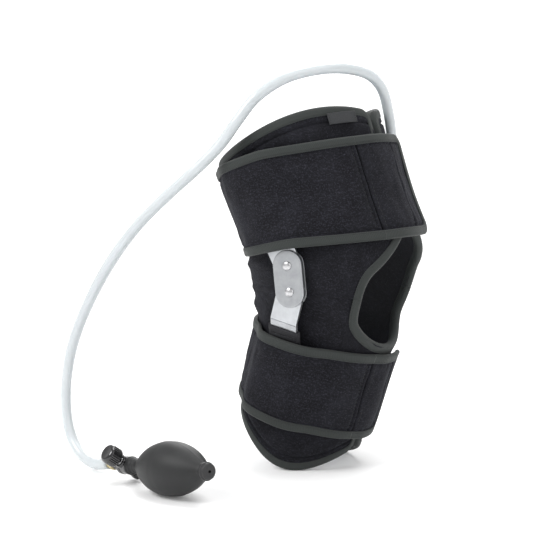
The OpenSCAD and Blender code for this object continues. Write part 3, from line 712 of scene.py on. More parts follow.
class Bench:
    """One material being made: its shader and a single way to add a node."""

    def __init__(self, name: str) -> None:
        """Start a material with its own Principled shader."""
        self.material = bpy.data.materials.new(name)
        self.material.use_nodes = True
        self.tree = self.material.node_tree
        self.shader = self.tree.nodes["Principled BSDF"]

    def node(self, kind: str, settings: dict[str, Any], inputs: dict[Any, Any], output: int | str = 0) -> Wire:
        """Add a node.

        Args:
            kind: Blender's type name.
            settings: Properties set first; stops holds a ramp's (place, colour) pairs.
            inputs: Values or wires by socket name or number.
            output: Which output to return.

        Returns:
            The output as a wire.
        """
        made = self.tree.nodes.new(kind)
        for key, value in settings.items():
            if key == "stops":
                ramp = made.color_ramp
                for extra in value[2:]:
                    ramp.elements.new(extra[0])
                for element, (place, colour) in zip(ramp.elements, sorted(value, key=lambda stop: stop[0])):
                    element.position, element.color = place, (*colour, 1.0)
            else:
                setattr(made, key, value)
        for key, value in inputs.items():
            self.join(value, made.inputs[key])
        return Wire(self, made.outputs[output])

    def join(self, value: Any, socket: bpy.types.NodeSocket) -> None:
        """Set a socket to a value or link a wire to it."""
        if isinstance(value, Wire):
            self.tree.links.new(value.socket, socket)
        elif isinstance(value, tuple) and len(value) == 3 and socket.type == "RGBA":
            socket.default_value = (*value, 1.0)
        else:
            socket.default_value = value

    def dress(self, **sockets: Any) -> bpy.types.Material:
        """Set the shader's sockets, their names written with _ for a space, and return the material."""
        for name, value in sockets.items():
            self.join(value, self.shader.inputs[name.replace("_", " ")])
        return self.material

    def place(self, chart: bool) -> Wire:
        """Coordinates in metres: the piece's own chart, or its place in the frame."""
        return self.node("ShaderNodeTexCoord", {}, {}, "UV" if chart else "Object")

    def stretched(self, place: Wire, scale: tuple[float, float, float]) -> Wire:
        """Coordinates scaled axis by axis."""
        return self.node("ShaderNodeMapping", {}, {"Vector": place, "Scale": scale})

    def noise(self, place: Wire, scale: float, detail: float = 3.0, rough: float = 0.6) -> Wire:
        """Noise of about 0.3 to 0.7."""
        inputs = {"Vector": place, "Scale": scale, "Detail": detail, "Roughness": rough}
        return self.node("ShaderNodeTexNoise", {}, inputs)

    def cells(self, place: Wire, scale: float) -> Wire:
        """Distance to the nearest of many scattered points."""
        return self.node("ShaderNodeTexVoronoi", {}, {"Vector": place, "Scale": scale})

    def blend(self, share: Any, first: Any, second: Any) -> Wire:
        """A mix of two colours."""
        return self.node("ShaderNodeMix", {"data_type": "RGBA"}, {0: share, 6: first, 7: second}, 2)

    def bump(self, height: Wire, depth: float, strength: float = 1.0) -> Wire:
        """A normal from a height, its depth in metres."""
        return self.node("ShaderNodeBump", {}, {"Strength": strength, "Distance": depth, "Height": height})

    def band(self, value: Wire, low: float, high: float) -> Wire:
        """0 below low and 1 above high."""
        return self.node("ShaderNodeMapRange", {}, {"Value": value, "From Min": low, "From Max": high})

    def threads(self, place: Wire, direction: str, scale: float, distortion: float, **more: float) -> Wire:
        """Waves across a direction of the chart, as ribs or threads."""
        inputs = {"Vector": place, "Scale": scale, "Distortion": distortion}
        inputs.update({name.replace("_", " "): value for name, value in more.items()})
        return self.node("ShaderNodeTexWave", {"bands_direction": direction}, inputs, 1)


Colour = tuple[float, float, float]


@dataclass(frozen=True)
class BrushedLoop:
    """Brushed loop pile: a felt of tiny dark loops with lighter fibre ends."""

    name: str
    colour: Colour = (0.0050, 0.0050, 0.0066)
    fibre: Colour = (0.040, 0.041, 0.054)
    pile: float = 0.00042

    def build(self) -> bpy.types.Material:
        """Make the material."""
        b = Bench(self.name)
        place = b.place(True)
        loops, fuzz = b.cells(place, 1100.0), b.noise(place, 2600.0, 4.0, 0.7)
        worn, brushed = b.noise(place, 42.0, 3.0), b.noise(b.stretched(place, (260.0, 420.0, 1.0)), 1.0, 3.0)
        speck = b.band(b.noise(place, 720.0, 2.0, 0.75), 0.54, 0.72)
        share = speck * 0.62 + b.band(brushed, 0.5, 0.72) * 0.22 + b.band(worn, 0.42, 0.75) * 0.14
        colour = b.blend(share, self.colour, self.fibre)
        height = loops * 0.55 + fuzz * 0.6 + speck * 0.35
        return b.dress(
            Base_Color=colour,
            Roughness=0.96,
            Sheen_Weight=0.055,
            Sheen_Roughness=0.5,
            Sheen_Tint=(0.55, 0.56, 0.66, 1.0),
            Specular_IOR_Level=0.18,
            Normal=b.bump(height, self.pile, 0.85),
        )


@dataclass(frozen=True)
class WovenTape:
    """Elastic edge tape: fine ribs across its width, slightly glossy, with painted shade in the rib troughs."""

    name: str
    colour: Colour = (0.029, 0.034, 0.032)
    # shade: the darker colour, painted shade in the rib troughs and also random darker tone
    shade: Colour = (0.015, 0.018, 0.017)
    ribs: float = 1250.0

    def build(self) -> bpy.types.Material:
        """Make the material."""
        b = Bench(self.name)
        place = b.place(True)
        rib = b.threads(place, "X", self.ribs / 6.283, 1.2, Detail=2.0, Detail_Scale=2.0)
        thread = b.noise(b.stretched(place, (600.0, 2400.0, 1.0)), 1.0, 2.0)
        worn = b.noise(place, 60.0, 3.0)
        # painted shade: the rib troughs take the shade colour; the broad noise adds random tone
        colour = b.blend(rib * 0.45 + worn * 0.45, self.shade, self.colour)
        return b.dress(
            Base_Color=colour,
            Roughness=0.6 + 0.25 * worn,
            Sheen_Weight=0.05,
            Specular_IOR_Level=0.35,
            Normal=b.bump(rib * 0.7 + thread * 0.5, 0.00016, 0.8),
        )


@dataclass(frozen=True)
class WovenNylon:
    """Plain weave: warp and weft as crossed waves, with painted shade in the gaps between the threads."""

    name: str
    colour: Colour = (0.010, 0.010, 0.0115)
    thread: Colour = (0.024, 0.024, 0.028)
    pitch: float = 0.0009
    roughness: float = 0.62

    def build(self) -> bpy.types.Material:
        """Make the material."""
        b = Bench(self.name)
        place = b.place(True)
        scale = 1 / (self.pitch * 6.283) * 3.1416
        warp, weft = b.threads(place, "X", scale, 0.4), b.threads(place, "Y", scale, 0.4)
        # painted shade: gaps between the threads keep the darker colour and raised threads take the lighter thread
        # colour; noise adds random tone
        weave = warp * (1 - weft) + weft * 0.8
        worn = b.noise(place, 80.0, 3.0)
        return b.dress(
            Base_Color=b.blend(weave * 0.6 + worn * 0.3, self.colour, self.thread),
            Roughness=self.roughness + 0.2 * worn,
            Specular_IOR_Level=0.3,
            Normal=b.bump(weave, 0.0002, 0.8),
        )


class Grain(Enum):
    """How a metal's surface was worked: stretch of its marks along X, Y and Z."""

    ROLLED = (900.0, 900.0, 30.0)
    TUMBLED = (500.0, 500.0, 500.0)
    TURNED = (260.0, 260.0, 260.0)


@dataclass(frozen=True)
class WorkedMetal:
    """Bare metal with fine marks and small dull patches."""

    name: str
    colour: Colour
    dull: Colour
    roughness: float
    grain: Grain
    depth: float = 0.00005

    def build(self) -> bpy.types.Material:
        """Make the material."""
        b = Bench(self.name)
        place = b.place(False)
        marks = b.noise(b.stretched(place, self.grain.value), 1.0, 5.0, 0.7)
        patch = b.noise(place, 120.0, 4.0)
        share = b.band(patch, 0.35, 0.7) * 0.6 + marks * 0.3
        return b.dress(
            Base_Color=b.blend(share, self.colour, self.dull),
            Metallic=1.0,
            Roughness=self.roughness + 0.22 * (marks - 0.5) + 0.12 * (patch - 0.5),
            Normal=b.bump(marks, self.depth, 0.5),
        )


@dataclass(frozen=True)
class Moulding:
    """A moulded plastic or rubber: even colour, a fine spark or matt skin, and random patches of dust."""

    name: str
    colour: Colour
    dust: Colour
    roughness: float
    grain: float = 900.0
    depth: float = 0.00004
    coat: float = 0.0
    specular: float = 0.5
    through: float = 0.0
    bleed: float = 0.0

    def build(self) -> bpy.types.Material:
        """Make the material."""
        b = Bench(self.name)
        place = b.place(False)
        fine, broad = b.noise(place, self.grain, 3.0), b.noise(place, 70.0, 4.0)
        share = b.band(broad, 0.45, 0.8) * 0.5 + b.band(fine, 0.6, 0.8) * 0.15
        return b.dress(
            Base_Color=b.blend(share, self.colour, self.dust),
            Roughness=self.roughness + 0.16 * (broad - 0.5) + 0.06 * (fine - 0.5),
            Coat_Weight=self.coat,
            Coat_Roughness=0.08,
            Specular_IOR_Level=self.specular,
            Transmission_Weight=self.through,
            Subsurface_Weight=self.bleed,
            Subsurface_Radius=(0.003, 0.003, 0.003),
            Normal=b.bump(fine, self.depth, 0.6),
        )


class Cupboard:
    """Every finish of the wrap, built once each."""

    def __init__(self) -> None:
        """Build them all."""
        finishes = (
            BrushedLoop("loop_fabric"),
            BrushedLoop("strap_fabric", (0.0056, 0.0056, 0.0074), (0.046, 0.047, 0.062), 0.00036),
            BrushedLoop("lining", (0.017, 0.017, 0.019), (0.040, 0.040, 0.044), 0.0002),
            BrushedLoop("hook_nylon", (0.008, 0.008, 0.009), (0.030, 0.030, 0.032), 0.0005),
            WovenTape("edge_tape"),
            WovenTape("thread", (0.020, 0.021, 0.022), (0.010, 0.010, 0.011), 3000.0),
            WovenNylon("pocket_fabric"),
            WovenNylon("woven_label", (0.022, 0.023, 0.025), (0.045, 0.047, 0.050), 0.0006, 0.6),
            WorkedMetal("stay_aluminium", (0.60, 0.62, 0.64), (0.47, 0.48, 0.50), 0.34, Grain.ROLLED),
            WorkedMetal("plate_aluminium", (0.42, 0.43, 0.44), (0.30, 0.31, 0.33), 0.42, Grain.TUMBLED, 0.00008),
            WorkedMetal("rivet_metal", (0.60, 0.60, 0.61), (0.44, 0.44, 0.45), 0.30, Grain.TURNED, 0.00002),
            WorkedMetal("spring_steel", (0.62, 0.62, 0.62), (0.45, 0.45, 0.46), 0.25, Grain.TURNED, 0.00002),
            Moulding("matt_black_plastic", (0.012, 0.012, 0.013), (0.028, 0.028, 0.030), 0.48),
            Moulding("gloss_black_plastic", (0.006, 0.006, 0.007), (0.012, 0.012, 0.013), 0.16, coat=0.6),
            Moulding("ivory_plastic", (0.56, 0.47, 0.24), (0.50, 0.42, 0.22), 0.32, bleed=0.25, through=0.15),
            Moulding("clear_tube", (0.70, 0.74, 0.76), (0.62, 0.66, 0.69), 0.20, 300.0, 0.00002, through=0.30),
            Moulding("bulb_rubber", (0.011, 0.0115, 0.012), (0.024, 0.025, 0.026), 0.56, 1400.0, 0.00006, specular=0.4),
            Moulding("gel_film", (0.055, 0.20, 0.42), (0.10, 0.28, 0.50), 0.20, 200.0, 0.0002, coat=0.4),
            Moulding("air_film", (0.52, 0.56, 0.60), (0.60, 0.64, 0.68), 0.26, 260.0, 0.0002),
        )
        self.jar = {finish.name: finish.build() for finish in finishes}

    def __getitem__(self, name: str) -> bpy.types.Material:
        """A finish by its name."""
        return self.jar[name]


# ---- Units and baked placement ----


def to_metres(point: Array) -> tuple[float, float, float]:
    """A point in millimetres as a tuple in metres."""
    return tuple(float(x) * MM for x in point)


def bend_upper(piece: bpy.types.Object) -> None:
    """Bake a piece's placement into its mesh; the turn from the thigh cuff to the hinge plates over 34 mm above the
    fold is not made.
    """
    point, up = LEG.fold_point, LEG.fold_normal
    to_metres(point + up * 34)
    to_metres(point)
    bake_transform(piece)


def bend_lower(piece: bpy.types.Object) -> None:
    """Bake a piece's placement into its mesh; the turn from the hinge plates to the calf cuff over 30 mm below the fold
    is not made.
    """
    point, up = LEG.fold_point, LEG.fold_normal
    to_metres(point)
    to_metres(point - up * 30)
    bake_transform(piece)


class Half(Enum):
    """The half of the wrap above or below the fold at the knee."""

    UPPER = "thigh"
    LOWER = "calf"

    def bend(self, piece: bpy.types.Object) -> None:
        """Bake a piece of this half through its bend function; no blend across the joint is made."""
        (bend_upper if self is Half.UPPER else bend_lower)(piece)


# ---- The wrap's layers ----


@dataclass
class WrapLayers:
    """Outer laminate, air chamber and lining, each in an upper and a lower half that meet at the fold."""

    finishes: Cupboard
    front_edge: float = 84.0
    medial_edge: float = -271.0
    shell: float = 3.4
    lining_depth: float = 5.0
    lining: float = 0.8
    chamber_depth: float = 3.6
    chamber: float = 0.9
    seam_angle: float = -74.0
    corner: float = 10.0
    corner_radius: float = 72.0

    def span(self, inset: float) -> Array:
        """Angles of a layer whose sides stop short of the front edges by an inset in degrees."""
        plain = fanned(self.medial_edge + inset, self.front_edge - inset, 1.7)
        seam = self.seam_angle + np.array([-2.0, -1.2, -0.7, -0.35, 0.0, 0.35, 0.7, 1.2, 2.0])
        kept = plain[np.abs(plain - self.seam_angle) > 2.3]
        return np.sort(np.concatenate([kept, seam]))

    def corner_cut(self, a: Array) -> Array:
        """How far a rim drops inside a rounded corner: a circle's rise over the distance to the side."""
        side = np.radians(np.minimum(a - self.medial_edge, self.front_edge - a)) * self.corner_radius
        gap = np.clip(self.corner - side, 0, self.corner)
        return self.corner - np.sqrt(self.corner**2 - gap**2)

    def edges(self, half: Half, a: Array, inset: float) -> tuple[Array, Array, Array]:
        """Low and high heights of a layer, and where its fold-side edge is a free one.

        Args:
            half: Upper or lower half.
            a: Angles.
            inset: Distance inside the wrap's own rims.

        Returns:
            Low heights, high heights, and a mask of the columns that stop at the patella opening.
        """
        beside = LEG.beside_opening(a)
        fold = LEG.fold_height(a)
        if half is Half.UPPER:
            low = np.where(beside, fold, LEG.opening_upper(a) + 0.4)
            return low, LEG.thigh_high(a) - inset - self.corner_cut(a), ~beside
        high = np.where(beside, fold, LEG.opening_lower(a) - 0.4)
        return LEG.calf_low(a) + inset + self.corner_cut(a), high, ~beside

    def relief(self, half: Half) -> Callable[[Array, Array, SheetPlan], tuple[Array, Array]]:
        """Shape of the outer laminate: pinched rims, the sewn channel inside them, puckers and soft waves."""

        def shape(a: Array, z: Array, plan: SheetPlan) -> tuple[Array, Array]:
            """Lift and thickness at each point."""
            rim = plan.high[:, None] - z if half is Half.UPPER else z - plan.low[:, None]
            arc = np.radians(a) * 70
            from_channel = rim - 13.5
            channel = np.exp(-((from_channel / 1.1) ** 2))
            gather = np.sin(arc * 2 * np.pi / 8.5 + 1.7 * np.sin(arc / 13))
            pucker = 0.22 * gather * np.exp(-((from_channel / 5) ** 2))
            seam = np.exp(-(((a - self.seam_angle) / 0.75) ** 2)) * smooth(rim / 12)
            wave = 0.55 * ripples(arc, z, 46, 11) + 0.25 * ripples(arc, z, 21, 12)
            calm = smooth(rim / 20) * smooth(np.minimum(np.abs(z - plan.low[:, None]), 30) / 12 + 0.2)
            fold = -0.9 * np.exp(-(((z + 3) / 2.8) ** 2)) * smooth((-np.sin(np.radians(a)) - 0.25) / 0.4)
            pinch = -0.7 * np.exp(-((rim / 5) ** 2))
            lift = pinch - 1.5 * channel - 0.8 * seam + pucker + wave * calm + fold - 0.2
            return lift, self.shell - 1.0 * channel

        return shape

    def layer(
        self, half: Half, name: str, finish: str, inset: float, thickness: float, depth: float, relief: bool = False
    ) -> bpy.types.Object:
        """Make one layer of one half.

        Args:
            half: Upper or lower half.
            name: Name of the piece.
            finish: Its material.
            inset: How far it stops inside the rims, in millimetres.
            thickness: Its thickness.
            depth: Depth of its outer face under the wrap's outer surface.
            relief: Whether it gets the outer laminate's shape.

        Returns:
            The piece, not yet riding.
        """
        a = self.span(0.6 + inset / 1.3)
        low, high, free = self.edges(half, a, inset)
        near = (0.0, 0.4, 1.3, 2.6, 4.2, 6.5, 9.0, 10.6, 11.5, 12.1, 12.7, 13.3, 14.1, 15.4, 17.5)
        plan = SheetPlan(
            LEG.skin,
            a,
            low,
            high,
            thickness,
            near if relief else (0.0, 0.3, 1.0, 2.5),
            52 if relief else 26,
            round_low=free if half is Half.UPPER else True,
            round_high=half is Half.UPPER,
            depth=depth,
            shape=self.relief(half) if relief else None,
        )
        return plan.draft().make(name, self.finishes[finish])

    def quilt(self, half: Half, name: str) -> bpy.types.Object:
        """The welded air chamber: two films pressed together at a lattice of round spots."""

        def shape(a: Array, z: Array, plan: SheetPlan) -> tuple[Array, Array]:
            """Lift and thickness at each point, thin at the spots."""
            arc, pitch = np.radians(a) * 68, 26
            spot = (np.cos(arc * 2 * np.pi / pitch) * np.cos(z * 2 * np.pi / pitch)) ** 6
            return 0 * a, self.chamber * (1 - 0.7 * spot)

        a = self.span(12.0)
        low, high, _ = self.edges(half, a, 22.0)
        if half is Half.UPPER:
            low = np.where(LEG.beside_opening(a), low, low + 11)
        else:
            high = np.where(LEG.beside_opening(a), high, high - 11)
        plan = SheetPlan(
            LEG.skin,
            a,
            low,
            high,
            self.chamber,
            (0.0, 0.3, 1.0, 2.5),
            30,
            round_low=half is Half.LOWER,
            round_high=half is Half.UPPER,
            depth=self.chamber_depth,
            shape=shape,
        )
        return plan.draft().make(name, self.finishes["air_film"])

    def build(self) -> None:
        """Make the layers of both halves, bake their placement and hide the imported layers that they stand for."""
        for half in Half:
            skin = self.layer(half, f"{half.value}_wrap_skin", "loop_fabric", 0.6, self.shell, 0.0, True)
            inner = self.layer(half, f"{half.value}_wrap_lining", "lining", 1.6, self.lining, self.lining_depth)
            chamber = self.quilt(half, f"{half.value}_air_cells")
            for piece, slot in ((skin, "loop_fabric"), (inner, "lining"), (chamber, "air_film")):
                half.bend(piece)
            if half is Half.UPPER:
                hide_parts("thigh_shell", "knee_panel")
                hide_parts("thigh_lining")
                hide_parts("thigh_air_chamber", "air_chamber_link")
            else:
                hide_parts("calf_shell")
                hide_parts("calf_lining")
                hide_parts("calf_air_chamber")


@dataclass
class EdgeBinding:
    """The tape folded over the wrap's rims, its front edges and the patella opening."""

    finishes: Cupboard
    layers: WrapLayers
    width: float = 7.4
    half_thickness: float = 2.9
    opening_start: float = 7.0

    def rim(self, half: Half) -> Trail:
        """The line of a rim: up one front edge, round the leg and down the other.

        Args:
            half: Upper or lower half.

        Returns:
            The trail along the rim's edge.
        """
        w, upper = self.layers, half is Half.UPPER
        bend = np.radians(np.linspace(0, 90, 10)[:-1])
        corner = math.degrees(w.corner / w.corner_radius)
        first = w.front_edge - corner * (1 - np.cos(bend))
        last = (w.medial_edge + corner * (1 - np.cos(bend)))[::-1]
        run = np.linspace(w.front_edge - corner, w.medial_edge + corner, 300)
        a = np.concatenate([first, run, last])
        turned = w.corner * (1 - np.sin(bend))
        drop = np.concatenate([turned, 0 * run, turned[::-1]])
        z = (LEG.thigh_high(a) - 1.0 - drop) if upper else (LEG.calf_low(a) + 1.2 + drop)
        edge = LEG.opening_upper(a[:1]) if upper else LEG.opening_lower(a[:1])
        start = edge + self.opening_start if upper else edge - self.opening_start
        side = start + (z[0] - start) * np.linspace(0, 1, 30)[:-1]
        count = len(side)
        a = np.concatenate([np.full(count, w.front_edge), a, np.full(count, w.medial_edge)])
        z = np.concatenate([side, z, side[::-1]])
        inner_a = np.clip(a, w.medial_edge + 9, w.front_edge - 9)
        order = np.arange(len(z))
        beside = (order < count) | (order >= len(z) - count)
        inner_z = np.where(beside, z, z - 9 if upper else z + 9)
        return Trail.on(LEG.skin, a, z, (inner_a, inner_z))

    def ring(self, half: Half) -> Trail:
        """Half of the patella opening's edge, from one corner at the fold to the other."""
        t = np.radians(np.linspace(0, 180, 110))
        a = LEG.opening_angle + LEG.opening_half * np.cos(t)
        further = LEG.opening_angle + 1.2 * (a - LEG.opening_angle)
        if half is Half.UPPER:
            rise = (LEG.opening_top - LEG.opening_level) * np.arcsin(np.clip(np.sin(t), 0, 1)) * 2 / np.pi
            z = LEG.opening_level + rise
            return Trail.on(LEG.skin, a, z, (further, z + 8 * np.sin(t)))
        z = LEG.opening_level - (LEG.opening_level - LEG.opening_bottom) * np.sin(t)
        return Trail.on(LEG.skin, a, z, (further, z - 8 * np.sin(t)))

    def sewn(self, line: Trail, half_thickness: float, name: str) -> tuple[bpy.types.Object, bpy.types.Object]:
        """Make a tape along a line and its row of stitches.

        Args:
            line: The sheet's edge.
            half_thickness: Half thickness of the sheet there.
            name: Start of the pieces' names.

        Returns:
            The tape and the stitches, not yet riding.
        """
        profile, rows = tape_profile(self.width, half_thickness), Draft()
        tape = Draft().grid(line.carry(profile)).make(f"{name}_tape", self.finishes["edge_tape"])
        close_ends(tape)
        line.stitched(rows, TAPE_TOP, TAPE_SEAM)
        return tape, rows.make(f"{name}_stitches", self.finishes["thread"])

    def build(self) -> None:
        """Make the tapes and their stitches."""
        for half in Half:
            line = self.rim(half)
            line.points = line.offset(-0.5, 0.0)
            tape, stitches = self.sewn(line, self.half_thickness, f"{half.value}_rim")
            settle(tape, half.value, "edge_tape", f"{half.value}_edge_binding")
            settle(stitches, half.value, "edge_tape")
            line = self.ring(half)
            line.points = line.offset(-0.2, 0.3)
            tape, stitches = self.sewn(line, self.half_thickness - 0.1, f"{half.value}_opening")
            for piece in (tape, stitches):
                half.bend(piece)
            if half is Half.UPPER:
                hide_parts("patella_binding")


def close_ends(piece: bpy.types.Object) -> None:
    """Fill every open loop of a piece's mesh and turn its faces outwards."""
    work = bmesh.new()
    work.from_mesh(piece.data)
    bmesh.ops.holes_fill(work, edges=[edge for edge in work.edges if edge.is_boundary], sides=0)
    bmesh.ops.recalc_face_normals(work, faces=work.faces)
    work.to_mesh(piece.data)
    work.free()


# ---- Straps ----


@dataclass
class Strap:
    """A strap of brushed loop between two taped edges, sewn on at one end."""

    finishes: Cupboard
    band_name: str
    place: Place
    low: Callable[[Array], Array]
    high: Callable[[Array], Array]
    start: float
    end: float
    body: str
    replaced: str
    tape_replaced: str
    free_end: bool
    radius: float
    thickness: float = 3.6
    tape_width: float = 7.2
    corner: float = 11.0
    seed: int = 3
    end_seam: float = 5.0

    def cut(self, a: Array) -> Array:
        """How far the edges draw in at the free end's rounded corners."""
        if not self.free_end:
            return 0 * a
        gap = np.clip(self.corner - np.radians(self.end - a) * self.radius, 0, self.corner)
        return self.corner - np.sqrt(self.corner**2 - gap**2)

    def shape(self, a: Array, z: Array, plan: SheetPlan) -> tuple[Array, Array]:
        """Crown between the tapes, a stitched dip along each and soft waves."""
        arc = np.radians(a) * self.radius
        near = np.minimum(z - plan.low[:, None], plan.high[:, None] - z)
        side = np.radians(self.end - a) * self.radius
        near = np.minimum(near, side) if self.free_end else near
        puff = 0.9 * np.exp(-(((side - 34) / 9) ** 2)) * smooth((near - 8) / 12) if self.free_end else 0.0
        dip = -0.75 * np.exp(-(((near - 7.6) / 1.2) ** 2))
        crown = 0.5 * smooth((near - 8) / 16) - 0.35
        gather = np.sin(arc * 2 * np.pi / 7.3 + 2 * np.sin(arc / 17))
        pucker = 0.16 * gather * np.exp(-(((near - 8) / 5) ** 2))
        wave = 0.42 * ripples(arc, z, 38, self.seed) + 0.2 * ripples(arc, z, 17, self.seed + 1)
        creases = 0.3 * np.maximum(0, ripples(arc * 1.8, z * 0.5, 26, self.seed + 2)) ** 2
        ends = smooth(np.radians(a - self.start) * self.radius / 9)
        wide, always = (1.7, 0) if self.free_end else (1.3, 1)
        seam = -1.3 * np.exp(-(((side - self.end_seam) / wide) ** 2)) * smooth((near - 5) / 4 + always)
        lift = dip + (crown + puff + pucker + (wave - creases) * smooth(near / 14)) * ends + seam
        return lift, self.thickness + np.minimum(lift, 0) * 0.6

    def edge(self) -> Trail:
        """The strap's taped edge: along the bottom, round the free end and back along the top."""
        bend = np.radians(np.linspace(0, 90, 10)[1:-1])
        corner = math.degrees(self.corner / self.radius)
        stop = self.end - corner
        run = np.linspace(self.start, stop, 200)
        turn_a = stop + corner * np.sin(bend)
        turn_z = self.corner * (1 - np.cos(bend))
        low, high = float(self.low(np.array(self.end))), float(self.high(np.array(self.end)))
        up = np.linspace(low + self.corner, high - self.corner, 24)
        a = np.concatenate([run, turn_a, 0 * up + self.end, turn_a[::-1], run[::-1]])
        lower, upper = self.low(turn_a) + turn_z, self.high(turn_a) - turn_z
        z = np.concatenate([self.low(run), lower, up, upper[::-1], self.high(run[::-1])])
        middle = (low + high) / 2
        return Trail.on(self.place, a, z, (np.minimum(a, self.end - 8), z + np.sign(middle - z) * 8))

    def edges(self) -> list[Trail]:
        """The taped edges as trails."""
        if self.free_end:
            return [self.edge()]
        run = np.linspace(self.start, self.end, 240)
        low, high = self.low(run), self.high(run)
        return [
            Trail.on(self.place, run, low, (run, low + 8)),
            Trail.on(self.place, run, high, (run, high - 8)),
        ]

    def build(self) -> None:
        """Make the band, its tape and its seams."""
        a = fanned(self.start, self.end - 0.4, 1.5)
        seam = self.end - math.degrees(self.end_seam / self.radius)
        a = np.sort(np.concatenate([a[np.abs(a - seam) > 3.2], seam + np.linspace(-3, 3, 11)]))
        low, high = self.low(a) + 0.9 + self.cut(a), self.high(a) - 0.9 - self.cut(a)
        near = (0.0, 0.3, 0.9, 2.0, 3.6, 5.4, 6.5, 7.2, 7.8, 8.5, 9.6, 11.2, 13.5)
        plan = SheetPlan(self.place, a, low, high, self.thickness, near, 30, shape=self.shape)
        band = plan.draft().make(self.band_name, self.finishes["strap_fabric"])
        settle(band, self.body, "strap_fabric", self.replaced)
        span = math.radians(self.end - self.start) * self.radius * MM
        wide = float(np.mean(self.high(a) - self.low(a))) * MM
        draft, rows = Draft(), Draft()
        for line in self.edges():
            line.points = line.offset(-0.55, 0.0)
            draft.grid(line.carry(tape_profile(self.tape_width, self.thickness / 2 - 0.45)))
            line.stitched(rows, TAPE_TOP, TAPE_SEAM)
        tape = draft.make(f"{self.band_name}_tape", self.finishes["edge_tape"])
        close_ends(tape)
        settle(tape, self.body, "edge_tape", self.tape_replaced)
        start_seam = -4.0 if self.free_end else -5.0
        for offset, end, out in ((self.end_seam, self.end, -1.2), (start_seam, self.start, -0.1)):
            b = np.full(60, end - math.degrees(offset / self.radius))
            low_end, high_end = float(self.low(b[:1])[0]), float(self.high(b[:1])[0])
            z = np.linspace(low_end + 9.5, high_end - 9.5, 60)
            Trail.on(self.place, b, z, (b - 4, z)).stitched(rows, out, 0.0)
        stitches = rows.make(f"{self.band_name}_stitches", self.finishes["thread"])
        settle(stitches, self.body, "edge_tape")


@dataclass
class HookPatch:
    """The patch of hooks under a strap's free end, with its stubble of hooks."""

    finishes: Cupboard
    name: str
    body: str
    place: Place
    low: Callable[[Array], Array]
    high: Callable[[Array], Array]
    start: float
    end: float
    replaced: str

    def build(self) -> None:
        """Make the patch and a field of small hooks on its leg side."""
        a = fanned(self.start, self.end, 1.6)
        depth, border, thickness = 3.6 + 2.0 - 0.9, 10, 0.8
        low, high = self.low(a) + border, self.high(a) - border
        draft = SheetPlan(self.place, a, low, high, thickness, depth=depth, rows=14).draft()
        turns, shares = np.linspace(self.start + 1.5, self.end - 1.5, 20), np.linspace(0.04, 0.96, 26)
        ga, share = np.meshgrid(turns, shares, indexing="ij")
        low, high = self.low(ga) + border, self.high(ga) - border
        gz = low + (high - low) * share
        spots = self.place(ga, gz, -depth - thickness).reshape(-1, 3)
        out = unit(self.place(ga, gz, -depth + 0.2).reshape(-1, 3) - spots)
        up = np.broadcast_to([0.0, 0.0, 1.0], out.shape)
        across = unit(np.cross(up, out))
        draft.beads(spots, out, across, unit(np.cross(out, across)), (0.42, 0.22, 0.22))
        settle(draft.make(self.name, self.finishes["hook_nylon"]), self.body, "hook_nylon", self.replaced)


@dataclass
class LabelTab:
    """A small blank woven tab sewn by the upper rim."""

    finishes: Cupboard
    start: float = 46.0
    end: float = 67.0
    height: float = 10.0
    base: float = 118.5
    slope: float = 0.12
    thickness: float = 0.9

    def shape(self, a: Array, z: Array, plan: SheetPlan) -> tuple[Array, Array]:
        """Soft waves at even thickness."""
        return 0.18 * ripples(np.radians(a) * 75, z, 14, 5), self.thickness + 0 * a

    def build(self) -> None:
        """Make the folded tab and its end stitches."""
        a = fanned(self.start, self.end, 0.8)
        low = self.base - (a - self.start) * self.slope
        plan = SheetPlan(LEG.skin, a, low, low + self.height, self.thickness, rows=12, depth=-2.4, shape=self.shape)
        tab = plan.draft().make("label_tab_weave", self.finishes["woven_label"])
        settle(tab, THIGH, "woven_label", "label_tab")
        rows = Draft()
        for t in (self.start + 1.1, self.end - 1.1):
            b = np.full(30, t)
            z = np.linspace(0.8, self.height - 0.8, 30) + self.base - (t - self.start) * self.slope
            Trail.on(LEG.skin, b, z, (b - 2, z)).stitched(rows, 2.45, 0.0, 2.2, 1.6)
        settle(rows.make("label_tab_stitches", self.finishes["thread"]), THIGH, "woven_label")


@dataclass
class GelPack:
    """A quilted gel cell pack behind the lining."""

    finishes: Cupboard
    name: str
    body: str
    middle: float
    low: float
    high: float
    half_span: float = 46.0
    cell: float = 17.0
    depth: float = 6.5
    thickness: float = 4.8

    def shape(self, a: Array, z: Array, plan: SheetPlan) -> tuple[Array, Array]:
        """Full cells between welded lines, with a flat flange at the border."""
        radius = 64
        arc = np.radians(a - self.middle) * radius
        weld = np.maximum(np.abs(np.cos(arc * np.pi / self.cell)), np.abs(np.cos((z - self.low) * np.pi / self.cell)))
        side = np.radians(self.half_span - np.abs(a - self.middle)) * radius
        border = np.minimum(np.minimum(z - self.low, self.high - z), side)
        full = (1 - weld**7) * smooth(border / 4)
        return -(1 - full) * self.thickness * 0.38, self.thickness * (0.2 + 0.8 * full)

    def build(self) -> None:
        """Make the pack."""
        a = fanned(self.middle - self.half_span, self.middle + self.half_span, 0.9)
        low, high = np.full(a.shape, self.low), np.full(a.shape, self.high)
        plan = SheetPlan(LEG.skin, a, low, high, self.thickness, rows=44, depth=self.depth, shape=self.shape)
        pack = plan.draft().make(f"{self.name}_cells", self.finishes["gel_film"])
        settle(pack, self.body, "gel_film", self.name)


# ---- Hinges ----


class Side(Enum):
    """Lateral is -Y; medial is its mirror image."""

    LATERAL = "lateral"
    MEDIAL = "medial"

    @property
    def frame(self) -> Array:
        """The side's own mirror, or none."""
        return np.eye(4) if self is Side.LATERAL else flip_y()


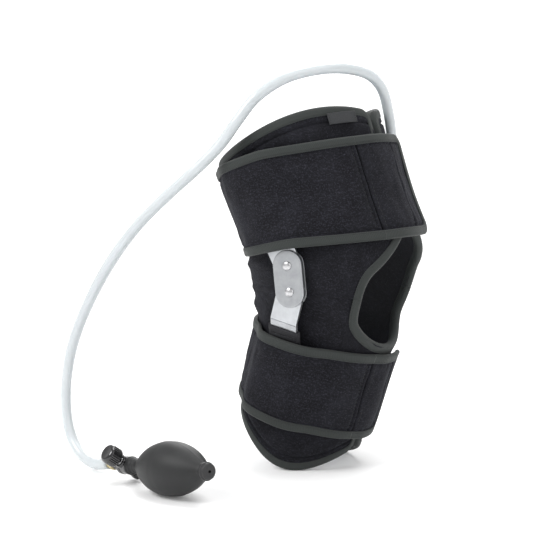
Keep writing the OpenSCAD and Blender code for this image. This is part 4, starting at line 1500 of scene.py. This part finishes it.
@dataclass
class Hinge:
    """Plates, rivets, stays and stay pockets of one side."""

    finishes: Cupboard
    side: Side
    spacing: float = 22.5
    plate_width: float = 27.0
    plate: float = 1.5
    plate_level: float = 81.5
    stay_level: float = 78.2
    inner_level: float = 76.4
    stay: float = 3.0
    stay_width: float = 25.0
    stay_angle: float = 20.5
    upper_form: tuple[float, ...] = (27, 18, 12, 0, 15)
    lower_form: tuple[float, ...] = (27, 24, 30, 4, 12)
    upper_length: float = 98.0
    lower_length: float = 104.0
    pocket_length: float = 51.0

    def plate_frame(self, level: float) -> Array:
        """The hinge plates' frame at a level out from the leg."""
        lean = shift(z=LEG.knee_height) @ turn(Axis.Y, -LEG.plate_lean)
        return self.side.frame @ lean @ shift(y=-level) @ turn(Axis.X, 90)

    def run_frames(self, half: Half) -> tuple[Array, Array]:
        """The frames of a stay's sloping middle and of its straight run, each at the run's start, +Y along the stay."""
        upper = half is Half.UPPER
        form = self.upper_form if upper else self.lower_form
        way = 1 if upper else -1
        arm = shift(z=LEG.knee_height) @ turn(Axis.Y, -LEG.plate_lean) @ shift(z=way * self.spacing / 2)
        arm = arm @ turn(Axis.Y, -way * self.stay_angle) @ shift(y=-self.stay_level) @ turn(Axis.X, 90)
        if not upper:
            arm = arm @ flip_y()
        slope = self.side.frame @ arm @ shift(y=form[0] - 1) @ turn(Axis.X, -form[2]) @ shift(y=form[1] + 1)
        run = slope @ turn(Axis.X, form[2] - form[3]) @ shift(z=self.stay / 2) @ turn(Axis.Y, -form[4])
        return slope @ shift(z=self.stay / 2), run

    def outer_plate(self) -> bpy.types.Object:
        """A stadium plate with rolled edges: rings about the line between the rivets."""
        r, t, e = self.plate_width / 2, self.plate, 0.55
        bend = np.linspace(0, np.pi / 2, 5)
        top = np.stack([r - e + e * np.sin(bend), t - e + e * np.cos(bend)], 1)
        low = np.stack([r - 0.3 + 0.3 * np.cos(bend), 0.3 - 0.3 * np.sin(bend)], 1)
        face = [[0, t], [r * 0.3, t], [r * 0.6, t], [r * 0.85, t]]
        profile = np.concatenate([face, top, low, [[r * 0.6, 0.0], [0, 0.0]]])
        angle = np.linspace(0, 2 * np.pi, 97)[:, None]
        spine = self.spacing / 2 * np.sign(np.sin(angle) + 1e-9) * smooth(np.abs(np.sin(angle)) * 40)
        x = profile[None, :, 0] * np.cos(angle)
        y = profile[None, :, 0] * np.sin(angle) + spine
        grid = moved(self.plate_frame(self.plate_level), np.stack([x, y, profile[None, :, 1] + 0 * x], -1))
        return Draft().grid(grid).make(f"{self.side.value}_hinge_plate", self.finishes["plate_aluminium"], sharp=40)

    def rivets(self) -> bpy.types.Object:
        """Two rivets: domed heads with a flat land, shanks and set inner heads."""
        stack = self.plate_level + self.plate - self.inner_level
        bend = np.linspace(0, 1, 14)
        dome = np.stack([4.0 * np.sin(bend * np.pi / 2), stack + 0.25 + 1.72 * np.cos(bend * np.pi / 2)], 1)
        shank = [[4.05, stack + 0.02], [2.48, stack + 0.0], [2.48, -0.02]]
        profile = np.concatenate([dome, shank, [[3.4, -0.05], [3.3, -0.7], [2.4, -0.8], [0, -0.8]]])
        draft = Draft()
        for way in (1, -1):
            place = self.plate_frame(self.inner_level) @ shift(y=way * self.spacing / 2)
            draft.grid(lathe(profile, place, 40))
        return draft.make(f"{self.side.value}_rivet_pair", self.finishes["rivet_metal"], sharp=50)

    @staticmethod
    def mouth(half: Half) -> float:
        """Where a sleeve's mouth lies before the start of its straight part: the lower one reaches up the slope."""
        return -23.5 if half is Half.LOWER else 0.0

    def sleeve_frames(self, half: Half) -> tuple[Array, Array, float]:
        """Where a sleeve lies: the frames of the slope and of the straight run, and the way along to its start."""
        upper = half is Half.UPPER
        form, length = (self.upper_form, self.upper_length) if upper else (self.lower_form, self.lower_length)
        start = length - form[0] - form[1] - self.pocket_length + 3.2
        slope, run = self.run_frames(half)
        return slope @ shift(y=start), run @ shift(y=start), start

    def sleeve_loops(self, half: Half, y: Array, wide: Array, thick: Array) -> Array:
        """Flattened rings round the stay, blended from its slope to its straight run.

        Args:
            half: Upper or lower half.
            y: Places along the sleeve.
            wide: Half widths at those places.
            thick: Half thicknesses at those places.

        Returns:
            (n, 73, 3) grid of closed rings.
        """
        slope, run, start = self.sleeve_frames(half)
        angle = np.linspace(0, 2 * np.pi, 73)[None, :]
        cos, sin = np.cos(angle), np.sin(angle)
        y, thick = y[:, None] + 0 * cos, thick[:, None]
        wave = 0.22 * ripples(y, 15 * cos, 13, 31) * (thick > 2.2)
        x = wide[:, None] * (np.sign(cos) * np.abs(cos) ** 0.45)
        z = (thick + wave) * (np.sign(sin) * np.abs(sin) ** 0.62)
        flat = np.stack([x, y, z], -1)
        share = smooth((y[:, :1] + start + 4) / 8)[..., None]
        return moved(slope, flat) * (1 - share) + moved(run, flat) * share

    def pocket(self, half: Half) -> bpy.types.Object:
        """A flat cloth sleeve, open at the hinge end, with a hemmed lip."""
        mouth, end = self.mouth(half), self.pocket_length
        lead = mouth + np.array([0.0, 0.15, 0.6, 2.0, 3.5, 5.0, 6.2, 6.8, 7.4, 8.2])
        tail = end - np.array([2.0, 1.2, 0.5, 0.1, 0.0])
        y = np.concatenate([lead, np.linspace(mouth + 9.5, end - 3, 34), tail])
        closing, opening = rounding(end - y, 3.5), rounding(y - mouth + 0.3, 0.9)
        lip = 0.28 * np.exp(-(((y - mouth - 3.2) / 2.6) ** 4)) - 0.3 * np.exp(-(((y - mouth - 7.0) / 0.8) ** 2))
        thick = np.maximum(0.02, (2.72 + lip) * closing * opening)
        outer = self.sleeve_loops(half, y, 15.2 * (0.86 + 0.14 * closing), thick)
        depth = np.concatenate([np.linspace(mouth, 8, 12), [20.0, end - 4.0]])
        inner = self.sleeve_loops(half, depth, 0 * depth + 12.9, 0 * depth + 1.75)[::-1]
        draft = Draft().grid(outer).grid(inner).grid(np.stack([inner[-1], outer[0]]))
        draft.grid(np.stack([outer[-1], outer[-1].mean(0) + 0 * outer[-1]]))
        draft.grid(np.stack([inner[0].mean(0) + 0 * inner[0], inner[0]]))
        return draft.make(f"{self.side.value}_{half.value}_stay_sleeve", self.finishes["pocket_fabric"])

    def pocket_stitches(self, half: Half) -> bpy.types.Object:
        """Two rows of stitches across the lip and one down each side of a sleeve, on its outer face."""
        slope, run, _ = self.sleeve_frames(half)
        draft, top = Draft(), slope if half is Half.LOWER else run
        across = np.arange(-12.3, 12.4, 2.9)
        for y in (4.6, 7.0):
            centre = moved(top, np.stack([across, 0 * across + (self.mouth(half) + y), 0 * across + 2.78], 1))
            draft.beads(centre, *(axis + 0 * centre for axis in top[:3, :3].T), (1.05, 0.3, 0.28))
        down = np.arange(9.5, self.pocket_length - 4, 3.1)
        x_axis, y_axis, z_axis = run[:3, :3].T
        for x in (-13.1, 13.1):
            centre = moved(run, np.stack([0 * down + x, down, 0 * down + 2.0], 1))
            draft.beads(centre, *(axis + 0 * centre for axis in (y_axis, x_axis, z_axis)), (1.1, 0.3, 0.32))
        return draft.make(f"{self.side.value}_{half.value}_sleeve_stitches", self.finishes["thread"])

    def build(self, nodes: dict[str, bpy.types.Object]) -> None:
        """Make the plate, rivets and sleeves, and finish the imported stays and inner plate.

        Args:
            nodes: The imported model's nodes by name.
        """
        side, body = self.side.value, f"{self.side.value}_plates"
        settle(self.outer_plate(), body, "plate_aluminium", f"{side}_outer_plate")
        settle(self.rivets(), body, "rivet_metal", f"{side}_rivets")
        for half, word in ((Half.UPPER, "upper"), (Half.LOWER, "lower")):
            settle(self.pocket(half), half.value, "pocket_fabric", f"{side}_{word}_pocket")
            settle(self.pocket_stitches(half), half.value, "pocket_fabric")
            dress_node(nodes[f"{side}_{word}_stay"], self.finishes["stay_aluminium"], 0.0004)
        dress_node(nodes[f"{side}_inner_plate"], self.finishes["plate_aluminium"], 0.0003)


def dress_node(node: bpy.types.Object, finish: bpy.types.Material, bevel: float = 0.0) -> None:
    """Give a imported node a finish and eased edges.

    Args:
        node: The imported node.
        finish: Its material.
        bevel: Width of the eased edges in metres, or 0 for none.
    """
    node.data.materials.clear()
    node.data.materials.append(finish)
    if bevel:
        weld = node.modifiers.new("weld", "WELD")
        weld.merge_threshold = 1e-6
        ease = node.modifiers.new("ease", "BEVEL")
        ease.width, ease.segments, ease.limit_method = bevel, 2, "ANGLE"
        ease.angle_limit = math.radians(40)
        ease.harden_normals = True


# ---- Air line and pump ----


@dataclass
class AirLine:
    """The port on the thigh cuff and the hose from it to the pump."""

    finishes: Cupboard
    port_angle: float = 136.0
    port_height: float = 96.0
    port_turn: float = 30.0
    standoff: float = 11.0
    tube_length: float = 12.0
    diameter: float = 9.5
    bore: float = 6.3

    def port_frame(self) -> Array:
        """The port's frame: its +X leaves the leg."""
        out = float(LEG.thigh_radius(np.array(self.port_height)))
        cuff = shift(LEG.offset, 0, LEG.knee_height) @ turn(Axis.Y, -LEG.thigh_lean)
        return cuff @ turn(Axis.Z, self.port_angle - 90) @ shift(out, 0, self.port_height)

    def exit(self) -> Array:
        """Where the hose leaves the elbow."""
        t = math.radians(self.port_turn)
        tip = [self.standoff, -self.tube_length * math.sin(t), self.tube_length * math.cos(t)]
        return moved(self.port_frame(), np.array(tip))

    def route(self, end: Array) -> Array:
        """The hose's centreline: a Catmull-Rom curve through its route, at even distances.

        Args:
            end: Where it meets the pump's ferrule.

        Returns:
            (n, 3) points in millimetres.
        """
        knots = np.array([
            self.exit(), [38, 46, 318], [39, 28, 338], [35, 6, 350], [24, -22, 354], [8, -46, 352],
            [-12, -66, 344], [-32, -80, 328], [-47, -86, 308], [-62, -89, 288], [-84, -94, 266],
            [-111, -98, 243], [-139, -103, 216], [-164, -106, 185], [-185, -108, 151], [-201, -110, 116],
            [-209, -112, 82], [-210, -113, 50], [-203, -116, 27], [-188, -122, 12], [-168, -130, 6.8], end,
        ])
        padded = np.concatenate([knots[:1], knots, knots[-1:]])
        a, b, c, d = (padded[i : len(knots) - 1 + i, None] for i in range(4))
        t = np.linspace(0, 1, 12, endpoint=False)[None, :, None]
        curve = 0.5 * (2 * b + (c - a) * t + (2 * a - 5 * b + 4 * c - d) * t**2 + (3 * b - a - 3 * c + d) * t**3)
        line = np.concatenate([curve.reshape(-1, 3), knots[-1:]])
        wanted, own = spread(line, 3.0)
        return carried(line, own, wanted)

    def hose(self, end: Array) -> None:
        """Make the hollow hose along its route, open at both ends."""
        path = self.route(end)
        share = np.linspace(0, 1, len(path))[:, None]
        reference = np.hstack([1 - share, share, 0 * share])
        ones = np.ones(len(path))
        outer = pipe(path, ones * self.diameter / 2, reference, 28)
        inner = pipe(path, ones * self.bore / 2, reference, 28)[::-1]
        draft = Draft().grid(outer).grid(inner)
        draft.grid(np.stack([inner[-1], outer[0]])).grid(np.stack([outer[-1], inner[0]]))
        hose = draft.make("air_hose_tube", self.finishes["clear_tube"])
        settle(hose, THIGH, "clear_tube", "air_hose")
        to_metres(path[0])
        [to_metres(point) for point in path]

    def port(self) -> None:
        """The flange welded into the skin and the elbow with its barb and collar."""
        frame, plastic = self.port_frame(), self.finishes["matt_black_plastic"]
        top, low = [[2.4, 2.9], [10.2, 2.9], [11.0, 2.2], [13.0, 1.9]], [[13.0, 0.8], [2.4, 0.8], [2.4, 2.9]]
        disc = lathe(eased_corners(np.array(top + low), 0.5), frame @ turn(Axis.Y, 90), 72)
        flange = Draft().grid(disc).make("port_flange_disc", plastic, sharp=55)
        t = math.radians(self.port_turn)
        straight = np.stack([np.linspace(2.6, self.standoff - 3.6, 8), np.zeros(8), np.zeros(8)], 1)
        bend = np.linspace(0, 1, 12)[1:, None]
        up = np.array([0.0, -math.sin(t), math.cos(t)])
        corner = np.array([self.standoff, 0.0, 0.0])
        start, stop = corner - [3.6, 0, 0], corner + 3.6 * up
        elbow = (1 - bend) ** 2 * start + 2 * bend * (1 - bend) * corner + bend**2 * stop
        rise = corner + up * np.linspace(3.9, self.tube_length - 0.2, 20)[:, None]
        path = moved(frame, np.concatenate([straight, elbow, rise]))
        radius = np.full(len(path), 3.9)
        radius[:4] += np.array([1.6, 1.0, 0.45, 0.1])
        share = np.linspace(0, 1, 20)
        radius[-20:] += 0.95 * smooth((share - 0.12) / 0.08) * (1 - smooth((share - 0.42) / 0.08))
        reference = frame[:3, :3] @ np.array([0.0, math.cos(t), math.sin(t)])
        tube = Draft().tube(pipe(path, radius, reference, 32)).make("port_elbow_tube", plastic, sharp=50)
        for piece, node in ((flange, "port_flange"), (tube, "port_elbow")):
            settle(piece, THIGH, "matt_black_plastic", node)


@dataclass(frozen=True)
class Turned:
    """A moulded body of revolution: radii and heights in order, with eased corners and perhaps grip ribs."""

    profile: tuple[tuple[float, float], ...]
    ease: float
    sides: int = 64
    knurl: tuple[float, float, float, int] | None = None

    def ribs(self, angle: Array, height: Array) -> Array:
        """What the grip ribs add to the radius: their depth, low and high ends and count are in knurl."""
        depth, low, high, count = self.knurl
        inside = smooth((height - low) / 0.6) * smooth((high - height) / 0.6)
        return -depth * inside * (0.5 - 0.5 * np.cos(angle * count)) ** 2

    def grid(self, frame: Array) -> Array:
        """Its surface about the Z of a frame, with more rings along its widest straight run if it has ribs."""
        line = eased_corners(np.array(self.profile, float), self.ease)
        if self.knurl is None:
            return lathe(line, frame, self.sides)
        outside = line[:, 0] > 0.8 * line[:, 0].max()
        wide = int(np.argmax(np.linalg.norm(np.diff(line, axis=0), axis=1) * outside[1:] * outside[:-1]))
        share = np.linspace(0, 1, 7)[1:-1, None]
        between = line[wide] + (line[wide + 1] - line[wide]) * share
        return lathe(np.concatenate([line[: wide + 1], between, line[wide + 1 :]]), frame, self.sides, self.ribs)


TEE_HUB = Turned(
    (
        *((0, 7), (4.2, 7), (6.9, 7.0), (7.9, 6), (7.9, 2.6), (7.4, 2.2)),
        *((7.4, -2.2), (7.9, -2.6), (7.9, -6), (6.9, -7), (4.8, -7), (0, -7)),
    ),
    0.5,
)
TEE_STEM = Turned(
    (
        *((0, 0), (4.6, 0), (4.6, 8.0), (5.0, 8.6), (5.0, 9.6), (4.0, 10.2), (4.0, 11.2)),
        *((4.7, 12.0), (4.7, 13.0), (4.1, 13.6), (4.7, 15.4), (3.9, 17.8), (2.0, 18), (0, 18)),
    ),
    0.35,
)
TEE_BARREL = Turned(((0, -9), (5.9, -9), (5.9, 7.6), (5.4, 9), (4.4, 9), (4.4, 5), (2.1, 5), (0, 4.8)), 0.4)
VALVE_PLUG = Turned(
    ((0, -16), (2.0, -15.6), (5.2, -16), (6.2, -15.2), (6.4, -14), (6.4, -10.6), (6.0, -9.1), (0, -9.05)),
    0.5,
    96,
    (0.35, -15.0, -10.2, 24),
)
KNOB = Turned(
    (
        *((0, 1), (2, 1), (2, 11.8), (6.9, 11.9), (8.0, 12.8), (8.4, 13.8)),
        *((8.4, 22.4), (7.4, 23.9), (6.0, 24.7), (2.6, 24.2), (0, 24.1)),
    ),
    0.7,
    144,
    (0.45, 13.4, 22.8, 28),
)
FERRULE = Turned(
    (
        *((1.8, 18), (4.3, 18), (5.05, 18.2), (5.05, 21.8), (4.5, 22.2), (4.5, 23.6)),
        *((3.3, 24.2), (3.3, 25.0), (3.5, 25.4), (3.1, 27.8), (1.8, 28), (1.8, 18)),
    ),
    0.3,
)
INLET_STEPS = (
    *((0, 1.6), (1.2, 1.6), (1.2, 5.0), (5.4, 5.0), (6.6, 4.2)),
    *((6.8, 2.1), (7.6, 1.9), (7.6, 0.2), (6.0, 0.05), (0, 0.05)),
)


@dataclass
class HandPump:
    """Bulb, inlet valve, release valve with its button, and the hose's ferrule."""

    finishes: Cupboard
    place: tuple[float, float, float] = (-120.0, -150.0, 14.6)
    heading: float = -22.0
    roll: float = 35.0
    start: float = 18.0
    length: float = 84.0
    diameter: float = 45.0
    rest: float = 0.4
    wall: float = 2.5
    neck: float = 5.6
    flare: float = 8.0
    hub_half: float = 7.0
    ferrule_end: float = 28.0

    @property
    def tail(self) -> float:
        """Distance from the valve to the tail of the bulb."""
        return self.start + 8 + self.length

    def frame(self) -> Array:
        """The pump's frame: its +X runs from the valve to the tail."""
        middle = self.start + 4 + self.length / 2
        dip = math.degrees(math.asin((self.diameter / 2 + self.rest - self.place[2]) / middle))
        return shift(*self.place) @ turn(Axis.Z, self.heading) @ turn(Axis.Y, -dip)

    def along(self, x: float) -> Array:
        """A point on the pump's axis."""
        return moved(self.frame(), np.array([x, 0.0, 0.0]))

    def outline(self, x: Array, shrink: float) -> Array:
        """Radius of the bulb: a flared neck and a long egg, the sine of its length to the power 0.7, made one.

        Args:
            x: Distances from the valve.
            shrink: Distance inside the outer face.

        Returns:
            The radius at each distance.
        """
        power, least = 3.0, 0.02
        t = np.clip((x - self.start) / (self.tail - self.start), 0, 1)
        lip = (self.flare - self.neck) * np.maximum(0, (self.start - x) / (self.start - self.hub_half)) ** 2
        neck = self.neck - shrink + lip
        egg = (self.diameter / 2 - shrink) * np.sin(np.pi * t) ** 0.7
        joined = (neck**power + np.maximum(egg, least) ** power) ** (1 / power)
        return np.minimum(joined, self.diameter / 2 - shrink)

    def mould_line(self, angle: Array, height: Array) -> Array:
        """What the mould's parting line adds to the radius."""
        ends = smooth((height - 19) / 4) * smooth((self.tail - 3 - height) / 4)
        return 0.16 * np.exp(-((np.sin(angle) / 0.035) ** 2)) * ends

    def bulb(self) -> bpy.types.Object:
        """The hollow bulb, with two ribs on its neck and one at its tail."""
        neck, belly = np.linspace(self.hub_half, 20, 26), np.linspace(20.4, self.tail - 8, 60)
        x = np.concatenate([neck, belly, np.linspace(self.tail - 7.6, self.tail, 16)])
        ring = 0.4 * np.exp(-(((x - 10.2) / 0.7) ** 2)) + 0.35 * np.exp(-(((x - 14.0) / 0.6) ** 2))
        ring += 0.45 * np.exp(-(((x - self.tail + 2.2) / 1.0) ** 2))
        outer = np.stack([self.outline(x, 0.0) + ring, x], 1)
        inner = np.stack([self.outline(x, self.wall), x], 1)[::-1]
        loop = np.concatenate([outer, inner, outer[:1]])
        grid = lathe(loop, self.frame() @ turn(Axis.Y, 90), 192, self.mould_line)
        return Draft().grid(grid).make("pump_bulb_rubber", self.finishes["bulb_rubber"], sharp=60)

    def build(self, nodes: dict[str, bpy.types.Object]) -> None:
        """Make the pump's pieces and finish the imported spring.

        Args:
            nodes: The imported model's nodes by name.
        """
        ahead, behind = self.frame() @ turn(Axis.Y, 90), self.frame() @ turn(Axis.Y, -90)
        barrel = self.frame() @ turn(Axis.X, 90 - self.roll)
        inlet = Turned(tuple((radius, self.tail + height) for radius, height in INLET_STEPS), 0.4)
        tee = ((TEE_HUB, ahead), (TEE_STEM, behind), (TEE_BARREL, barrel))
        for name, parts, finish, body, node in (
            ("pump_valve_tee", tee, "gloss_black_plastic", THIGH, "pump_valve_body"),
            ("pump_valve_plug", ((VALVE_PLUG, barrel),), "gloss_black_plastic", THIGH, "pump_valve_cap"),
            ("release_button_knob", ((KNOB, barrel),), "gloss_black_plastic", "release_button", "release_button"),
            ("hose_ferrule_barb", ((FERRULE, behind),), "ivory_plastic", THIGH, "hose_ferrule"),
            ("pump_inlet_cap", ((inlet, ahead),), "matt_black_plastic", THIGH, "pump_inlet_valve"),
        ):
            draft = Draft()
            for part, frame in parts:
                draft.grid(part.grid(frame))
            settle(draft.make(name, self.finishes[finish], sharp=50), body, finish, node)
        settle(self.bulb(), THIGH, "bulb_rubber", "pump_bulb")
        spring = nodes["release_spring"]
        dress_node(spring, self.finishes["spring_steel"])
        seat = moved(barrel, np.array([0.0, 0.0, 5.0]))
        tuple(float(x) for x in barrel[:3, 2])
        to_metres(seat)
        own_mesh(spring)


# ---- The room ----


@dataclass
class Studio:
    """Camera, floor, sky and soft lights."""

    spot: tuple[float, float, float] = (0.49901, -1.08766, 0.27604)
    look: tuple[float, float, float] = (-0.45226, 0.88762, -0.08716)
    lens: float = 87.0

    def camera(self) -> None:
        """Set up the scene's camera."""
        data = bpy.data.cameras.new("camera")
        data.lens, data.sensor_width = self.lens, 36.0
        data.clip_start, data.clip_end = 0.05, 30.0
        camera = bpy.data.objects.new("camera", data)
        camera.location = self.spot
        camera.rotation_mode = "QUATERNION"
        camera.rotation_quaternion = Vector(self.look).to_track_quat("-Z", "Y")
        bpy.context.scene.collection.objects.link(camera)
        bpy.context.scene.camera = camera

    def floor(self) -> None:
        """A pale floor that sweeps up into a backdrop far behind; it glows with painted light, dimly near the wrap and
        fully towards the backdrop.
        """
        bench = Bench("pale_floor")
        place = bench.place(False)
        shade = bench.noise(place, 3.0)
        # painted light: far rises with the place along Y, from 0.9 m to 3.2 m, to turn up the glow towards the backdrop
        far = bench.band(bench.node("ShaderNodeSeparateXYZ", {}, {0: place}, 1), 0.9, 3.2)
        finish = bench.dress(
            Base_Color=bench.blend(shade, (0.86, 0.86, 0.86), (0.90, 0.90, 0.90)),
            Roughness=0.75,
            # painted light: the floor's own glow, dim under the wrap and bright at the backdrop
            Emission_Color=bench.blend(far, (0.14, 0.14, 0.14), (1.0, 1.0, 1.0)),
            Emission_Strength=0.6,
        )
        bend = np.linspace(0, np.pi / 2, 14)
        sweep = np.stack([5000 + 1500 * np.sin(bend), 1500 - 1500 * np.cos(bend)], 1)
        run = np.concatenate([[[-6000.0, 0.0]], sweep, [[6500.0, 6000.0]]])
        wide = np.array([-7000.0, 7000.0])[:, None]
        grid = np.stack([wide + 0 * run[None, :, 0], run[None, :, 0] + 0 * wide, run[None, :, 1] + 0 * wide], -1)
        Draft().grid(grid).make("studio_floor", finish)

    def lights(self) -> None:
        """Four soft boxes and an even sky."""
        sky = bpy.data.worlds.new("sky")
        sky.use_nodes = True
        inputs = sky.node_tree.nodes["Background"].inputs
        inputs["Color"].default_value, inputs["Strength"].default_value = (1.0, 1.0, 1.0, 1.0), 0.62
        bpy.context.scene.world = sky
        boxes = (
            ("key", (-0.9, -1.3, 1.35), 0.8, 24.0),
            ("fill", (1.5, -0.7, 0.9), 1.2, 9.0),
            ("top", (0.1, 0.2, 1.8), 1.1, 18.0),
            ("rim", (-0.6, 1.3, 1.0), 0.9, 12.0),
        )
        for name, spot, size, power in boxes:
            data = bpy.data.lights.new(name, "AREA")
            data.size, data.energy = size, power
            light = bpy.data.objects.new(name, data)
            light.location = spot
            light.rotation_mode = "QUATERNION"
            light.rotation_quaternion = (Vector((0, 0, 0.17)) - Vector(spot)).to_track_quat("-Z", "Y")
            bpy.context.scene.collection.objects.link(light)
        bpy.context.scene.view_settings.view_transform = "Standard"


def main() -> None:
    """Build the room, the air line first, and then the wrap from its layers outwards."""
    logging.basicConfig(level=logging.INFO, format="%(name)s %(message)s")
    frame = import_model()
    nodes = frame["nodes"]
    studio = Studio()
    studio.camera()
    finishes = Cupboard()
    pump = HandPump(finishes)
    line = AirLine(finishes)
    line.hose(pump.along(-pump.ferrule_end))
    line.port()
    pump.build(nodes)
    layers = WrapLayers(finishes)
    layers.build()
    EdgeBinding(finishes, layers).build()
    thigh_edges, calf_edges = (LEG.thigh_strap_low, LEG.thigh_strap_high), (LEG.calf_strap_low, LEG.calf_strap_high)
    for name, place, edges, start, end, body, radius, seed, seam in (
        ("thigh_strap", LEG.thigh_strap, thigh_edges, -196, 59, THIGH, 79, 41, 5),
        ("thigh_strap", LEG.thigh_tab, thigh_edges, 59.1, 112, "thigh_tab", 80, 51, 30),
        ("calf_strap", LEG.calf_strap, calf_edges, -196, 68, CALF, 66, 61, 5),
        ("calf_strap", LEG.calf_tab, calf_edges, 68.1, 115, "calf_tab", 67, 71, 21),
    ):
        free = body.endswith("_tab")
        made, node = (f"{name}_end", f"{name}_tab") if free else (f"{name}_band", name)
        binding = f"{body if free else name}_binding"
        strap = Strap(finishes, made, place, *edges, start, end, body, node, binding, free, radius)
        strap.seed, strap.end_seam = seed, seam
        strap.build()
    for name, place, edges, start, end in (
        ("thigh", LEG.thigh_tab, thigh_edges, 72, 106),
        ("calf", LEG.calf_tab, calf_edges, 77, 109),
    ):
        HookPatch(finishes, f"{name}_hook_field", f"{name}_tab", place, *edges, start, end, f"{name}_hook_patch").build()
    LabelTab(finishes).build()
    for name, body, middle, low, high in (
        ("thigh_gel_pack_lateral", THIGH, 10, 52, 108),
        ("thigh_gel_pack_medial", THIGH, -190, 52, 108),
        ("calf_gel_pack_lateral", CALF, 4, -122, -66),
        ("calf_gel_pack_medial", CALF, -184, -122, -66),
    ):
        GelPack(finishes, name, body, middle, low, high).build()
    for side in Side:
        Hinge(finishes, side).build(nodes)
    studio.floor()
    studio.lights()


if __name__ == "__main__":
    main()
